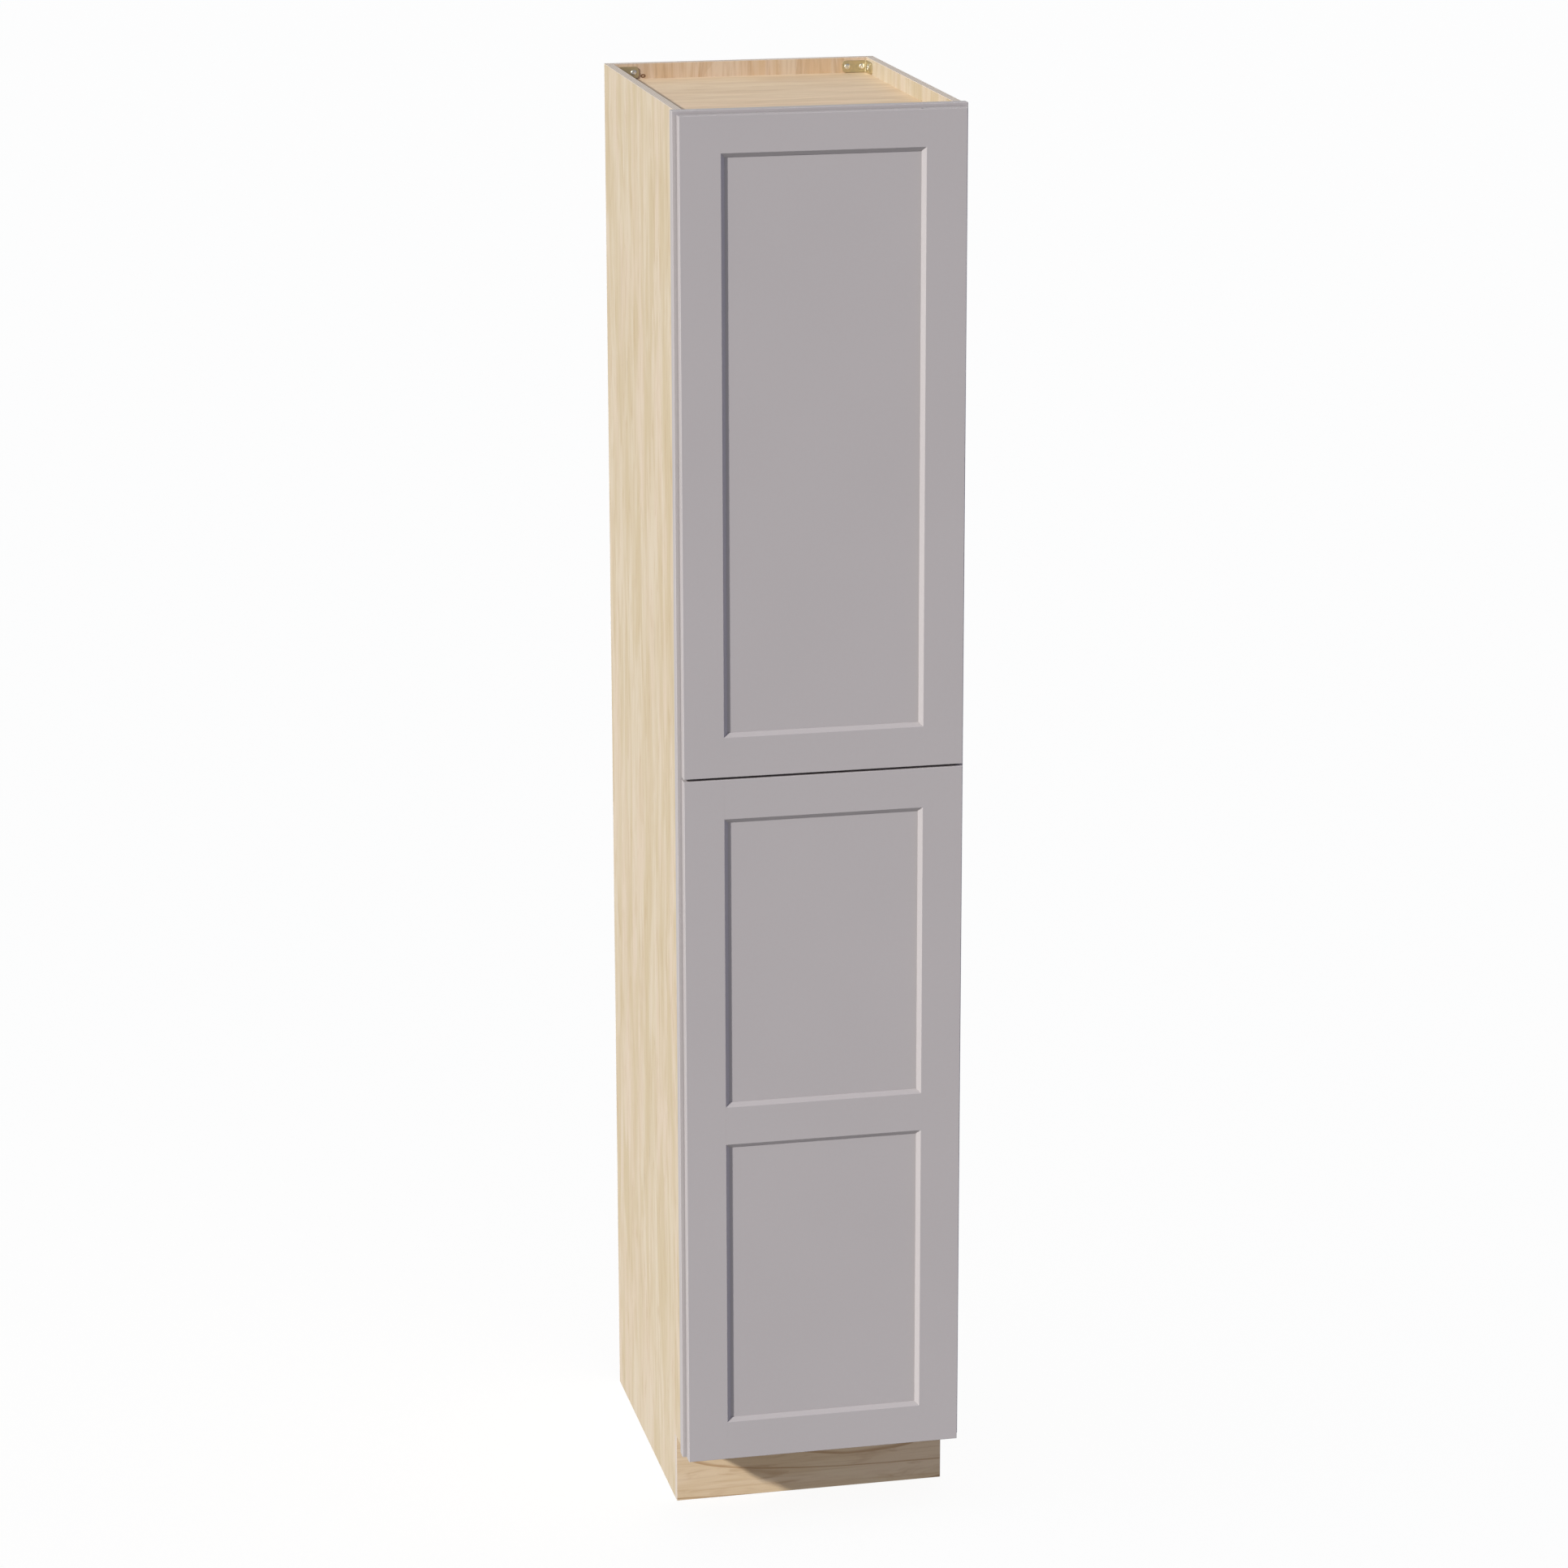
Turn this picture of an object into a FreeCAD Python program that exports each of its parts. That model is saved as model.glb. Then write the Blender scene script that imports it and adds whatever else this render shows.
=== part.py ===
import FreeCAD, Part
import os

from FreeCAD import Vector

# Face-frame pantry cabinet, 18 in wide, 90 in high and 24 in deep (nominal), with two
# full-overlay recessed-panel doors, one above the other, hinged on the right.
#
# Millimetres. +X is to the right seen from the front, +Y to the back, +Z up.
# The origin is on the floor, under the middle of the whole cabinet, doors included.

INCH = 25.4
EPS = 1.0                               # how far a cutting tool runs past the face it cuts

# Cabinet envelope
WIDTH = 18.0 * INCH                     # face frame, edge to edge
HEIGHT = 90.0 * INCH
CASE_DEPTH = 23.75 * INCH               # face of the frame to the back
DOOR_THICK = 0.75 * INCH
DOOR_GAP = 3.2                          # back of the doors to the face of the frame
TOTAL_DEPTH = CASE_DEPTH + DOOR_THICK + DOOR_GAP

# Levels from front to back
Y_DOOR_FRONT = -TOTAL_DEPTH / 2
Y_DOOR_BACK = Y_DOOR_FRONT + DOOR_THICK
Y_FRAME = Y_DOOR_BACK + DOOR_GAP
Y_BACK = TOTAL_DEPTH / 2

# Face frame
FRAME_THICK = 0.75 * INCH
FRAME_MEMBER = 1.5 * INCH
FRAME_BOTTOM = 4.5 * INCH
TENON_LENGTH = 10.0
TENON_THICK = 6.35
TENON_SHOULDER = 6.0
Y_CASE = Y_FRAME + FRAME_THICK          # front edge of the plywood case

# Plywood case
FRAME_OVERHANG = 0.25 * INCH            # frame edge past the outer face of each side
PLY = 0.5 * INCH
SHELF_THICK = 0.75 * INCH
DADO = 4.0                              # how deep the fixed panels sit in the sides
TOP_DROP = 25.0                         # top panel below the rim of the case
X_SIDE = WIDTH / 2 - FRAME_OVERHANG     # outer face of each side
X_INNER = X_SIDE - PLY                  # inner face of each side
Y_BACK_PANEL = Y_BACK - PLY             # inner face of the back
Z_TOP_PANEL = HEIGHT - TOP_DROP         # upper face of the top panel
Z_DECK = FRAME_BOTTOM + FRAME_MEMBER    # upper face of the bottom panel

# Toe space
TOE_SETBACK = 3.375 * INCH              # face of the frame to the toe-kick board
Y_TOE = Y_FRAME + TOE_SETBACK
Z_TOE = FRAME_BOTTOM

# Doors
DOOR_REVEAL = 0.25 * INCH               # frame edge past the door edge, each side
DOOR_TOP_REVEAL = 5.2
DOOR_SPLIT = 4.0                        # gap between the two doors
X_DOOR = WIDTH / 2 - DOOR_REVEAL
Z_SPLIT = 49.335 * INCH                 # middle of the gap between the doors
UPPER_DOOR = (Z_SPLIT + DOOR_SPLIT / 2, HEIGHT - DOOR_TOP_REVEAL)
LOWER_DOOR = (FRAME_BOTTOM, Z_SPLIT - DOOR_SPLIT / 2)
DOOR_EASING = 0.8                       # round on the front edges of the doors
MEMBER_FACE = 2.5 * INCH                # flat face of a door stile or rail
TOP_RAIL_FACE = 2.25 * INCH             # flat face of the upper door's top rail
MIDDLE_RAIL_FACE = 2.45 * INCH
BEVEL_WIDTH = 6.5
BEVEL_DEPTH = 5.6
PANEL_RECESS = 6.35                     # door face to panel face
PANEL_THICK = 6.35
GROOVE = 9.5                            # depth of the panel groove
PANEL_PLAY = 1.5                        # free space for the panel at the groove's bottom

# Shelves
Z_FIXED_SHELF = Z_SPLIT + FRAME_MEMBER / 2
SHELF_SIDE_PLAY = 1.5
SHELF_END_PLAY = 3.0
PIN_RADIUS = 2.5
PIN_HOLE_DEPTH = 9.0
PIN_SHAFT = 8.0
PIN_FLANGE = 1.5
PIN_REACH = 10.0
PIN_WIDTH = 12.0
PIN_DROP = 5.0                          # pin centre below the shelf's underside
HOLE_PITCH = 2.0 * INCH
HOLE_ROWS = (-2, -1, 0, 1, 2)           # holes above and below each shelf's own pin
HOLE_INSET = 50.0                       # hole columns from the shelf's front and back

# Concealed hinges: three on each door, on the right
HINGE_END = 95.0                        # end hinges from the ends of the door
CUP_RADIUS = 17.5
CUP_WALL = 0.6
CUP_FLOOR = 0.8
CUP_DEPTH = 12.5
CUP_EDGE = 3.0                          # edge of the cup from the edge of the door
FLANGE_THICK = 1.0
FLANGE_RADIUS = 19.0
EAR_HEIGHT = 58.0
EAR_WIDTH = 16.0
EAR_ROUND = 6.0
EAR_SHIFT = 9.5                         # screw line from the middle of the cup
CUP_SCREW_PITCH = 45.0
KNUCKLE_SLOT = 6.5                      # half-height of the slot between the cup's cheeks
CHEEK_START = 8.0                       # where the cheeks start, from the cup's middle
PIVOT_EDGE = 7.5                        # pivot from the door's edge
PIVOT_DEPTH = 9.3                       # pivot from the door's back
PIVOT_PIN_RADIUS = 1.2
PIVOT_CLEARANCE = 0.05
PIVOT_PIN_HALF = 8.4
KNUCKLE_RADIUS = 2.0
ARM_THICK = 1.3
ARM_HALF = 6.0
ARM_BEND = 1.2                          # round on the outside of the arm's bend
LEG_THICK = 1.5
LEG_REACH = 16.0                        # leg of the arm behind the face of the frame
BASE_THICK = 2.0
BASE_HALF = 22.0
BASE_INSET = 1.5
BASE_SCREW_OFFSET = 15.0
ADJUSTER_SETBACK = 10.0
X_OPENING = WIDTH / 2 - FRAME_MEMBER    # inner edge of the frame's stiles
X_CUP = X_DOOR - CUP_EDGE - CUP_RADIUS
X_PIVOT = X_DOOR - PIVOT_EDGE
Y_PIVOT = Y_DOOR_BACK - PIVOT_DEPTH

# Screws: head radius, head height, shank radius, shank length
WOOD_SCREW = (3.5, 2.0, 1.75, 10.0)
BRACKET_SCREW = (4.5, 1.9, 1.9, 12.0)
BASE_SCREW = (3.4, 1.8, 1.75, 15.0)
ADJUSTER = (3.6, 1.6, 1.9, 3.3)

# Door bumpers
BUMPER_RADIUS = 5.0
BUMPER_THICK = 2.9
BUMPER_INSET = 14.0
BUMPER_CHAMFER = 0.8

# Corner brackets on top, where the sides meet the back
BRACKET_LEG = 41.0
BRACKET_HEIGHT = 19.2
BRACKET_THICK = 2.0
BRACKET_ROUND = 6.0
BRACKET_LIFT = 0.8
BRACKET_END_SCREW = 8.3                 # outer screw from the end of the leg
BRACKET_CORNER_SCREW = 8.0              # inner screw from the corner
BRACKET_SIDE_SCREW = 19.0               # screw on the side leg from the corner


def box(x, y, z):
    """Block between the two values given for each axis."""
    low = Vector(min(x), min(y), min(z))
    size = [max(pair) - min(pair) for pair in (x, y, z)]
    return Part.makeBox(size[0], size[1], size[2], low)


def prism(points, along):
    """Flat outline carried along a vector."""
    face = Part.Face(Part.makePolygon(points + points[:1]))
    return face.extrude(along)


def rod(start, along, radius):
    """Round bar from a point along a vector."""
    return Part.makeCylinder(radius, along.Length, start, along)


def screw(seat, inward, sizes):
    """Countersunk wood screw; seat is the middle of its head's flat top."""
    head_radius, head_height, shank_radius, shank_length = sizes
    direction = Vector(inward).normalize()
    head = Part.makeCone(head_radius, shank_radius, head_height, seat, direction)
    neck = seat + direction * head_height
    return head.fuse(rod(neck, direction * shank_length, shank_radius)).removeSplitter()


def pan_screw(seat, inward, sizes):
    """Pan-head screw; seat is the point under its head, on the face it clamps."""
    head_radius, head_height, shank_radius, shank_length = sizes
    direction = Vector(inward).normalize()
    head = rod(seat - direction * head_height, direction * head_height, head_radius)
    return head.fuse(rod(seat, direction * shank_length, shank_radius)).removeSplitter()


def save(name, shape):
    """Write one sub-part to its own STEP file."""
    if not shape.isValid():
        raise RuntimeError("invalid solid: " + name)
    shape.exportStep(os.path.join("parts", name + ".step"))
    bounds = shape.BoundBox
    print("%-24s %2d solid(s) %9.1f cm3  z %.1f to %.1f" %
          (name, len(shape.Solids), shape.Volume / 1000, bounds.ZMin, bounds.ZMax))


# ---------------------------------------------------------------- shelves and their pins

def shelf_levels():
    """Underside of each adjustable shelf: two in the lower bay and two in the upper."""
    bays = ((Z_DECK, Z_FIXED_SHELF - SHELF_THICK), (Z_FIXED_SHELF, Z_TOP_PANEL - PLY))
    return [low + (high - low) * part / 3 for low, high in bays for part in (1, 2)]


def hole_columns():
    """Front-to-back places of the two columns of shelf-pin holes."""
    return (Y_CASE + SHELF_END_PLAY + HOLE_INSET, Y_BACK_PANEL - SHELF_END_PLAY - HOLE_INSET)


def adjustable_shelf(level):
    """Loose shelf with a little play at its sides and ends."""
    half = X_INNER - SHELF_SIDE_PLAY
    span = (Y_CASE + SHELF_END_PLAY, Y_BACK_PANEL - SHELF_END_PLAY)
    return box((-half, half), span, (level, level + SHELF_THICK))


def shelf_pin(side, y, level):
    """Shelf pin: shaft in the side, round flange, flat tongue and the web below it."""
    wall = side * X_INNER
    centre = Vector(wall, y, level - PIN_DROP)
    shaft = rod(centre, Vector(side * PIN_SHAFT, 0, 0), PIN_RADIUS)
    flange = rod(centre, Vector(-side * PIN_FLANGE, 0, 0), PIN_DROP)
    tip = wall - side * PIN_REACH
    tongue = box((wall, tip), (y - PIN_WIDTH / 2, y + PIN_WIDTH / 2), (level - PIN_FLANGE, level))
    corners = [Vector(wall, y - PIN_FLANGE / 2, level - PIN_FLANGE),
               Vector(tip, y - PIN_FLANGE / 2, level - PIN_FLANGE),
               Vector(wall, y - PIN_FLANGE / 2, level - 2 * PIN_DROP)]
    web = prism(corners, Vector(0, PIN_FLANGE, 0))
    return shaft.fuse([flange, tongue, web]).removeSplitter()


def shelf_pins():
    """All the shelf pins, four to a shelf."""
    return Part.makeCompound([shelf_pin(side, y, level) for level in shelf_levels()
                              for y in hole_columns() for side in (-1, 1)])


def pin_holes(side):
    """Tools that drill the shelf-pin holes of one side."""
    depth = Vector(side * (PIN_HOLE_DEPTH + EPS), 0, 0)
    start = side * (X_INNER - EPS)
    return [rod(Vector(start, y, level - PIN_DROP + row * HOLE_PITCH), depth, PIN_RADIUS)
            for level in shelf_levels() for y in hole_columns() for row in HOLE_ROWS]


# ---------------------------------------------------------------- plywood case

def fixed_panel(z_top, thick):
    """Panel across the case, let into a dado in each side."""
    half = X_INNER + DADO
    return box((-half, half), (Y_CASE, Y_BACK_PANEL), (z_top - thick, z_top))


def side_panel(side, fixed, screws):
    """Side with its toe notch, dadoes, shelf-pin holes and bracket screw holes."""
    y_notch = Y_TOE + PLY
    outline = [Vector(0, Y_CASE, Z_TOE), Vector(0, y_notch, Z_TOE), Vector(0, y_notch, 0),
               Vector(0, Y_BACK, 0), Vector(0, Y_BACK, HEIGHT), Vector(0, Y_CASE, HEIGHT)]
    panel = prism(outline, Vector(PLY, 0, 0))
    panel.translate(Vector(X_INNER if side > 0 else -X_SIDE, 0, 0))
    return panel.cut(fixed + pin_holes(side) + screws)


def back_panel(screws):
    """Full-height back between the sides."""
    panel = box((-X_INNER, X_INNER), (Y_BACK_PANEL, Y_BACK), (0, HEIGHT))
    return panel.cut(screws)


def toe_kick_board():
    """Board that closes the toe space and laps the edges of both sides."""
    return box((-X_SIDE, X_SIDE), (Y_TOE, Y_TOE + PLY), (0, Z_TOE))


def toe_kick_brace():
    """Brace behind the toe-kick board that carries the front of the bottom panel."""
    return box((-X_INNER, X_INNER), (Y_TOE + PLY, Y_TOE + 2 * PLY), (0, Z_DECK - PLY))


# ---------------------------------------------------------------- face frame

def frame_rail(z_low):
    """Rail of the face frame, with a stub tenon at each end."""
    rail = box((-X_OPENING, X_OPENING), (Y_FRAME, Y_CASE), (z_low, z_low + FRAME_MEMBER))
    reach = X_OPENING + TENON_LENGTH
    middle = (Y_FRAME + Y_CASE) / 2
    tenon = box((-reach, reach), (middle - TENON_THICK / 2, middle + TENON_THICK / 2),
                (z_low + TENON_SHOULDER, z_low + FRAME_MEMBER - TENON_SHOULDER))
    return rail.fuse(tenon).removeSplitter()


def frame_stile(side, rails, screws):
    """Stile of the face frame, mortised for the rails and drilled for the hinge screws."""
    stile = box((side * X_OPENING, side * WIDTH / 2), (Y_FRAME, Y_CASE), (FRAME_BOTTOM, HEIGHT))
    return stile.cut(rails + screws)


# ---------------------------------------------------------------- corner brackets

def bracket_leg(length):
    """Flat leg in the XZ plane from the corner at the origin, rounded at its far end."""
    plate = box((0, length), (0, -BRACKET_THICK), (0, BRACKET_HEIGHT))
    ends = [edge for edge in plate.Edges
            if all(abs(v.X - length) < 0.01 for v in edge.Vertexes)
            and abs(edge.Vertexes[0].Y - edge.Vertexes[1].Y) > 0.01]
    return plate.makeFillet(BRACKET_ROUND, ends)


def bracket_screw_seats(side):
    """Points under the heads and directions of the three screws of one bracket."""
    z = Z_TOP_PANEL + BRACKET_LIFT + BRACKET_HEIGHT / 2
    y_plate = Y_BACK_PANEL - BRACKET_THICK
    x_plate = side * (X_INNER - BRACKET_THICK)
    back = [side * (X_INNER - BRACKET_LEG + BRACKET_END_SCREW), side * (X_INNER - BRACKET_CORNER_SCREW)]
    seats = [(Vector(x, y_plate, z), Vector(0, 1, 0)) for x in back]
    seats.append((Vector(x_plate, Y_BACK_PANEL - BRACKET_SIDE_SCREW, z), Vector(side, 0, 0)))
    return seats


def bracket_screws(side):
    """The three pan-head screws of one bracket."""
    return [pan_screw(seat, inward, BRACKET_SCREW) for seat, inward in bracket_screw_seats(side)]


def corner_bracket(side):
    """L-shaped bracket that ties a side to the back, above the top panel."""
    along_back = bracket_leg(BRACKET_LEG)
    along_side = bracket_leg(BRACKET_LEG)
    along_side.rotate(Vector(0, 0, 0), Vector(0, 0, 1), -90)
    along_side.translate(Vector(BRACKET_THICK, 0, 0))
    bracket = along_back.fuse(along_side).removeSplitter()
    if side > 0:
        bracket = bracket.mirror(Vector(0, 0, 0), Vector(1, 0, 0))
    bracket.translate(Vector(side * X_INNER, Y_BACK_PANEL, Z_TOP_PANEL + BRACKET_LIFT))
    return bracket.cut(bracket_screws(side))


# ---------------------------------------------------------------- doors

def member_section(face):
    """Section of a door stile or end rail, as (distance from its outer edge, depth)."""
    foot = face + BEVEL_WIDTH
    rear = PANEL_RECESS + PANEL_THICK
    return [(0, 0), (face, 0), (foot, BEVEL_DEPTH), (foot, PANEL_RECESS), (foot - GROOVE, PANEL_RECESS),
            (foot - GROOVE, rear), (foot, rear), (foot, DOOR_THICK), (0, DOOR_THICK)]


def middle_section(face):
    """Section of a middle rail, with a bevel and a groove on both edges."""
    half = member_section(face / 2)[1:-1]
    return half + [(-across, depth) for across, depth in reversed(half)]


def rail_bar(section, z_edge, sign):
    """Bar with a section, from one stile's groove to the other's."""
    reach = X_DOOR - MEMBER_FACE - BEVEL_WIDTH + GROOVE
    points = [Vector(-reach, Y_DOOR_FRONT + depth, z_edge + sign * across) for across, depth in section]
    return prism(points, Vector(2 * reach, 0, 0))


def stile_bar(side, span):
    """Door stile over the whole height of the door."""
    points = [Vector(side * (X_DOOR - across), Y_DOOR_FRONT + depth, span[0])
              for across, depth in member_section(MEMBER_FACE)]
    return prism(points, Vector(0, 0, span[1] - span[0]))


def door_blank(span):
    """Outline block of a door with its front edges eased."""
    blank = box((-X_DOOR, X_DOOR), (Y_DOOR_FRONT, Y_DOOR_BACK), span)
    front = [edge for edge in blank.Edges
             if all(abs(v.Y - Y_DOOR_FRONT) < 0.01 for v in edge.Vertexes)]
    return blank.makeFillet(DOOR_EASING, front)


def door_panel(z_low, z_high):
    """Flat panel held in the grooves; z_low and z_high are the edges of its opening."""
    inset = GROOVE - PANEL_PLAY
    half = X_DOOR - MEMBER_FACE - BEVEL_WIDTH + inset
    front = Y_DOOR_FRONT + PANEL_RECESS
    return box((-half, half), (front, front + PANEL_THICK), (z_low - inset, z_high + inset))


def hinge_levels(span):
    """Heights of a door's three hinges."""
    return (span[0] + HINGE_END, (span[0] + span[1]) / 2, span[1] - HINGE_END)


def door_parts(span, top_face, middle_face):
    """Frame members and panels of a door, by name; middle_face is 0 with no middle rail."""
    blank = door_blank(span)
    stiles = {side: stile_bar(side, span).common(blank) for side in (-1, 1)}
    cutters = [stile_bar(-1, span), stile_bar(1, span)]
    rails = {"rail_top": rail_bar(member_section(top_face), span[1], -1),
             "rail_bottom": rail_bar(member_section(MEMBER_FACE), span[0], 1)}
    openings = [span[0] + MEMBER_FACE + BEVEL_WIDTH, span[1] - top_face - BEVEL_WIDTH]
    names = ["panel"]
    if middle_face:
        middle = (openings[0] + openings[1]) / 2
        half = middle_face / 2 + BEVEL_WIDTH
        rails["rail_middle"] = rail_bar(middle_section(middle_face), middle, 1)
        openings[1:1] = [middle - half, middle + half]
        names = ["panel_bottom", "panel_top"]
    parts = {name: bar.cut(cutters).common(blank) for name, bar in rails.items()}
    bores = []
    for z in hinge_levels(span):
        mouth = Vector(X_CUP, Y_DOOR_BACK + EPS, z)
        bores.append(rod(mouth, Vector(0, -CUP_DEPTH - EPS, 0), CUP_RADIUS))
        bores += cup_screws(z)
    parts["stile_left"] = stiles[-1]
    parts["stile_right"] = stiles[1].cut(bores)
    for name, low, high in zip(names, openings[0::2], openings[1::2]):
        parts[name] = door_panel(low, high)
    return parts


def bumpers(span):
    """Two soft bumpers on the free edge of a door."""
    stops = []
    for z in (span[0] + BUMPER_INSET, span[1] - BUMPER_INSET):
        foot = Vector(-X_DOOR + BUMPER_INSET, Y_DOOR_BACK, z)
        stop = rod(foot, Vector(0, BUMPER_THICK, 0), BUMPER_RADIUS)
        rim = [edge for edge in stop.Edges if abs(edge.BoundBox.YMin - Y_DOOR_BACK - BUMPER_THICK) < 0.01]
        stops.append(stop.makeChamfer(BUMPER_CHAMFER, rim))
    return Part.makeCompound(stops)


# ---------------------------------------------------------------- concealed hinges

def cup_screws(z):
    """The two screws of a hinge cup."""
    seats = [Vector(X_CUP - EAR_SHIFT, Y_DOOR_BACK + FLANGE_THICK, z + sign * CUP_SCREW_PITCH / 2)
             for sign in (-1, 1)]
    return [screw(seat, Vector(0, -1, 0), WOOD_SCREW) for seat in seats]


def hinge_pin(z):
    """Pivot pin, pressed into the cheeks of the cup."""
    foot = Vector(X_PIVOT, Y_PIVOT, z - PIVOT_PIN_HALF)
    return rod(foot, Vector(0, 0, 2 * PIVOT_PIN_HALF), PIVOT_PIN_RADIUS)


def hinge_cup(z):
    """Cup with its screw flange; its pocket narrows to a slot between two cheeks at the pivot."""
    inner = CUP_RADIUS - CUP_WALL
    mouth = Vector(X_CUP, Y_DOOR_BACK + FLANGE_THICK, z)
    body = rod(mouth, Vector(0, -CUP_DEPTH - FLANGE_THICK, 0), CUP_RADIUS)
    collar = rod(mouth, Vector(0, -FLANGE_THICK, 0), FLANGE_RADIUS)
    ears = box((X_CUP - EAR_SHIFT - EAR_WIDTH / 2, X_CUP - EAR_SHIFT + EAR_WIDTH / 2),
               (Y_DOOR_BACK, Y_DOOR_BACK + FLANGE_THICK), (z - EAR_HEIGHT / 2, z + EAR_HEIGHT / 2))
    corners = [edge for edge in ears.Edges
               if abs(edge.Vertexes[0].Y - edge.Vertexes[1].Y) > 0.01]
    ears = ears.makeFillet(EAR_ROUND, corners)
    hollow = rod(mouth + Vector(0, EPS, 0), Vector(0, -CUP_DEPTH - FLANGE_THICK - EPS + CUP_FLOOR, 0), inner)
    cheek = box((X_CUP + CHEEK_START, X_CUP + CUP_RADIUS), (Y_DOOR_BACK - CUP_DEPTH, Y_DOOR_BACK),
                (z + KNUCKLE_SLOT, z + CUP_RADIUS))
    cheeks = [cheek, cheek.mirror(Vector(0, 0, z), Vector(0, 0, 1))]
    pocket = hollow.cut(cheeks)
    return body.fuse([collar, ears]).cut([pocket, hinge_pin(z)] + cup_screws(z)).removeSplitter()


def hinge_arm(z):
    """Arm: rolled knuckle on the pivot, strip across the cup, and leg along the frame's edge."""
    low, high = z - ARM_HALF, z + ARM_HALF
    x_leg = X_OPENING - BASE_THICK - LEG_THICK
    knuckle = rod(Vector(X_PIVOT, Y_PIVOT, low), Vector(0, 0, high - low), KNUCKLE_RADIUS)
    y_strip = Y_PIVOT - KNUCKLE_RADIUS
    strip = box((x_leg, X_PIVOT), (y_strip, y_strip + ARM_THICK), (low, high))
    leg = box((x_leg, x_leg + LEG_THICK), (y_strip, Y_FRAME + LEG_REACH), (low, high))
    plate = leg.fuse(strip).removeSplitter()
    bend = [edge for edge in plate.Edges
            if all(abs(v.X - x_leg) < 0.01 and abs(v.Y - y_strip) < 0.01 for v in edge.Vertexes)]
    plate = plate.makeFillet(ARM_BEND, bend)
    hole = rod(Vector(X_PIVOT, Y_PIVOT, low - EPS), Vector(0, 0, high - low + 2 * EPS),
               PIVOT_PIN_RADIUS + PIVOT_CLEARANCE)
    return plate.fuse(knuckle).cut([hole, adjuster(z)]).removeSplitter()


def base_screws(z):
    """The two wood screws of a hinge base."""
    x = X_OPENING - BASE_THICK
    y = Y_FRAME + FRAME_THICK / 2
    seats = [Vector(x, y, z + sign * BASE_SCREW_OFFSET) for sign in (-1, 1)]
    return [screw(seat, Vector(1, 0, 0), BASE_SCREW) for seat in seats]


def adjuster(z):
    """Machine screw that clamps the arm to the base."""
    x_leg = X_OPENING - BASE_THICK - LEG_THICK
    return pan_screw(Vector(x_leg, Y_FRAME + ADJUSTER_SETBACK, z), Vector(1, 0, 0), ADJUSTER)


def hinge_base(z):
    """Base plate on the inner edge of the frame's right stile."""
    plate = box((X_OPENING - BASE_THICK, X_OPENING), (Y_FRAME + BASE_INSET, Y_CASE - BASE_INSET),
                (z - BASE_HALF, z + BASE_HALF))
    corners = [edge for edge in plate.Edges
               if abs(edge.Vertexes[0].X - edge.Vertexes[1].X) > 0.01]
    return plate.makeFillet(EAR_ROUND, corners).cut(base_screws(z) + [adjuster(z)])


# ---------------------------------------------------------------- assembly

def write_case():
    """Plywood case, shelves, toe kick and top brackets."""
    fixed = {"top_panel": fixed_panel(Z_TOP_PANEL, PLY), "bottom_panel": fixed_panel(Z_DECK, PLY),
             "fixed_shelf": fixed_panel(Z_FIXED_SHELF, SHELF_THICK)}
    screws = {side: bracket_screws(side) for side in (-1, 1)}
    for name, shape in fixed.items():
        save(name, shape)
    for side, word in ((-1, "left"), (1, "right")):
        save("side_" + word, side_panel(side, list(fixed.values()), screws[side]))
        save("corner_bracket_" + word, corner_bracket(side))
    save("corner_bracket_screws", Part.makeCompound(screws[-1] + screws[1]))
    save("back_panel", back_panel(screws[-1] + screws[1]))
    save("toe_kick_board", toe_kick_board())
    save("toe_kick_brace", toe_kick_brace())
    for number, level in enumerate(shelf_levels(), 1):
        save("shelf_%d" % number, adjustable_shelf(level))
    save("shelf_pins", shelf_pins())


def write_face_frame(hinge_places):
    """Stiles and rails of the face frame."""
    rails = {"frame_rail_bottom": frame_rail(FRAME_BOTTOM),
             "frame_rail_middle": frame_rail(Z_FIXED_SHELF - FRAME_MEMBER),
             "frame_rail_top": frame_rail(HEIGHT - FRAME_MEMBER)}
    for name, shape in rails.items():
        save(name, shape)
    drilled = [tool for z in hinge_places for tool in base_screws(z)]
    save("frame_stile_left", frame_stile(-1, list(rails.values()), []))
    save("frame_stile_right", frame_stile(1, list(rails.values()), drilled))


def write_doors(doors):
    """Members, panels and bumpers of both doors."""
    for name, (span, top_face, middle_face) in doors.items():
        for part, shape in door_parts(span, top_face, middle_face).items():
            save("%s_%s" % (name, part), shape)
        save(name + "_bumpers", bumpers(span))


def write_hinges(doors, hinge_places):
    """Cups, pins, arms, bases and screws of all the hinges."""
    for number, z in enumerate(hinge_places, 1):
        save("hinge_cup_%d" % number, hinge_cup(z))
        save("hinge_arm_%d" % number, hinge_arm(z))
        save("hinge_base_%d" % number, hinge_base(z))
    for name, (span, _, _) in doors.items():
        levels = hinge_levels(span)
        save(name + "_hinge_pins", Part.makeCompound([hinge_pin(z) for z in levels]))
        save(name + "_cup_screws", Part.makeCompound([tool for z in levels for tool in cup_screws(z)]))
    save("hinge_base_screws", Part.makeCompound([tool for z in hinge_places for tool in base_screws(z)]))
    save("hinge_adjusters", Part.makeCompound([adjuster(z) for z in hinge_places]))


def main():
    """Write every sub-part of the cabinet."""
    os.makedirs("parts", exist_ok=True)
    doors = {"lower_door": (LOWER_DOOR, MEMBER_FACE, MIDDLE_RAIL_FACE),
             "upper_door": (UPPER_DOOR, TOP_RAIL_FACE, 0)}
    hinge_places = [z for span, _, _ in doors.values() for z in hinge_levels(span)]
    write_case()
    write_face_frame(hinge_places)
    write_doors(doors)
    write_hinges(doors, hinge_places)


main()
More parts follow.
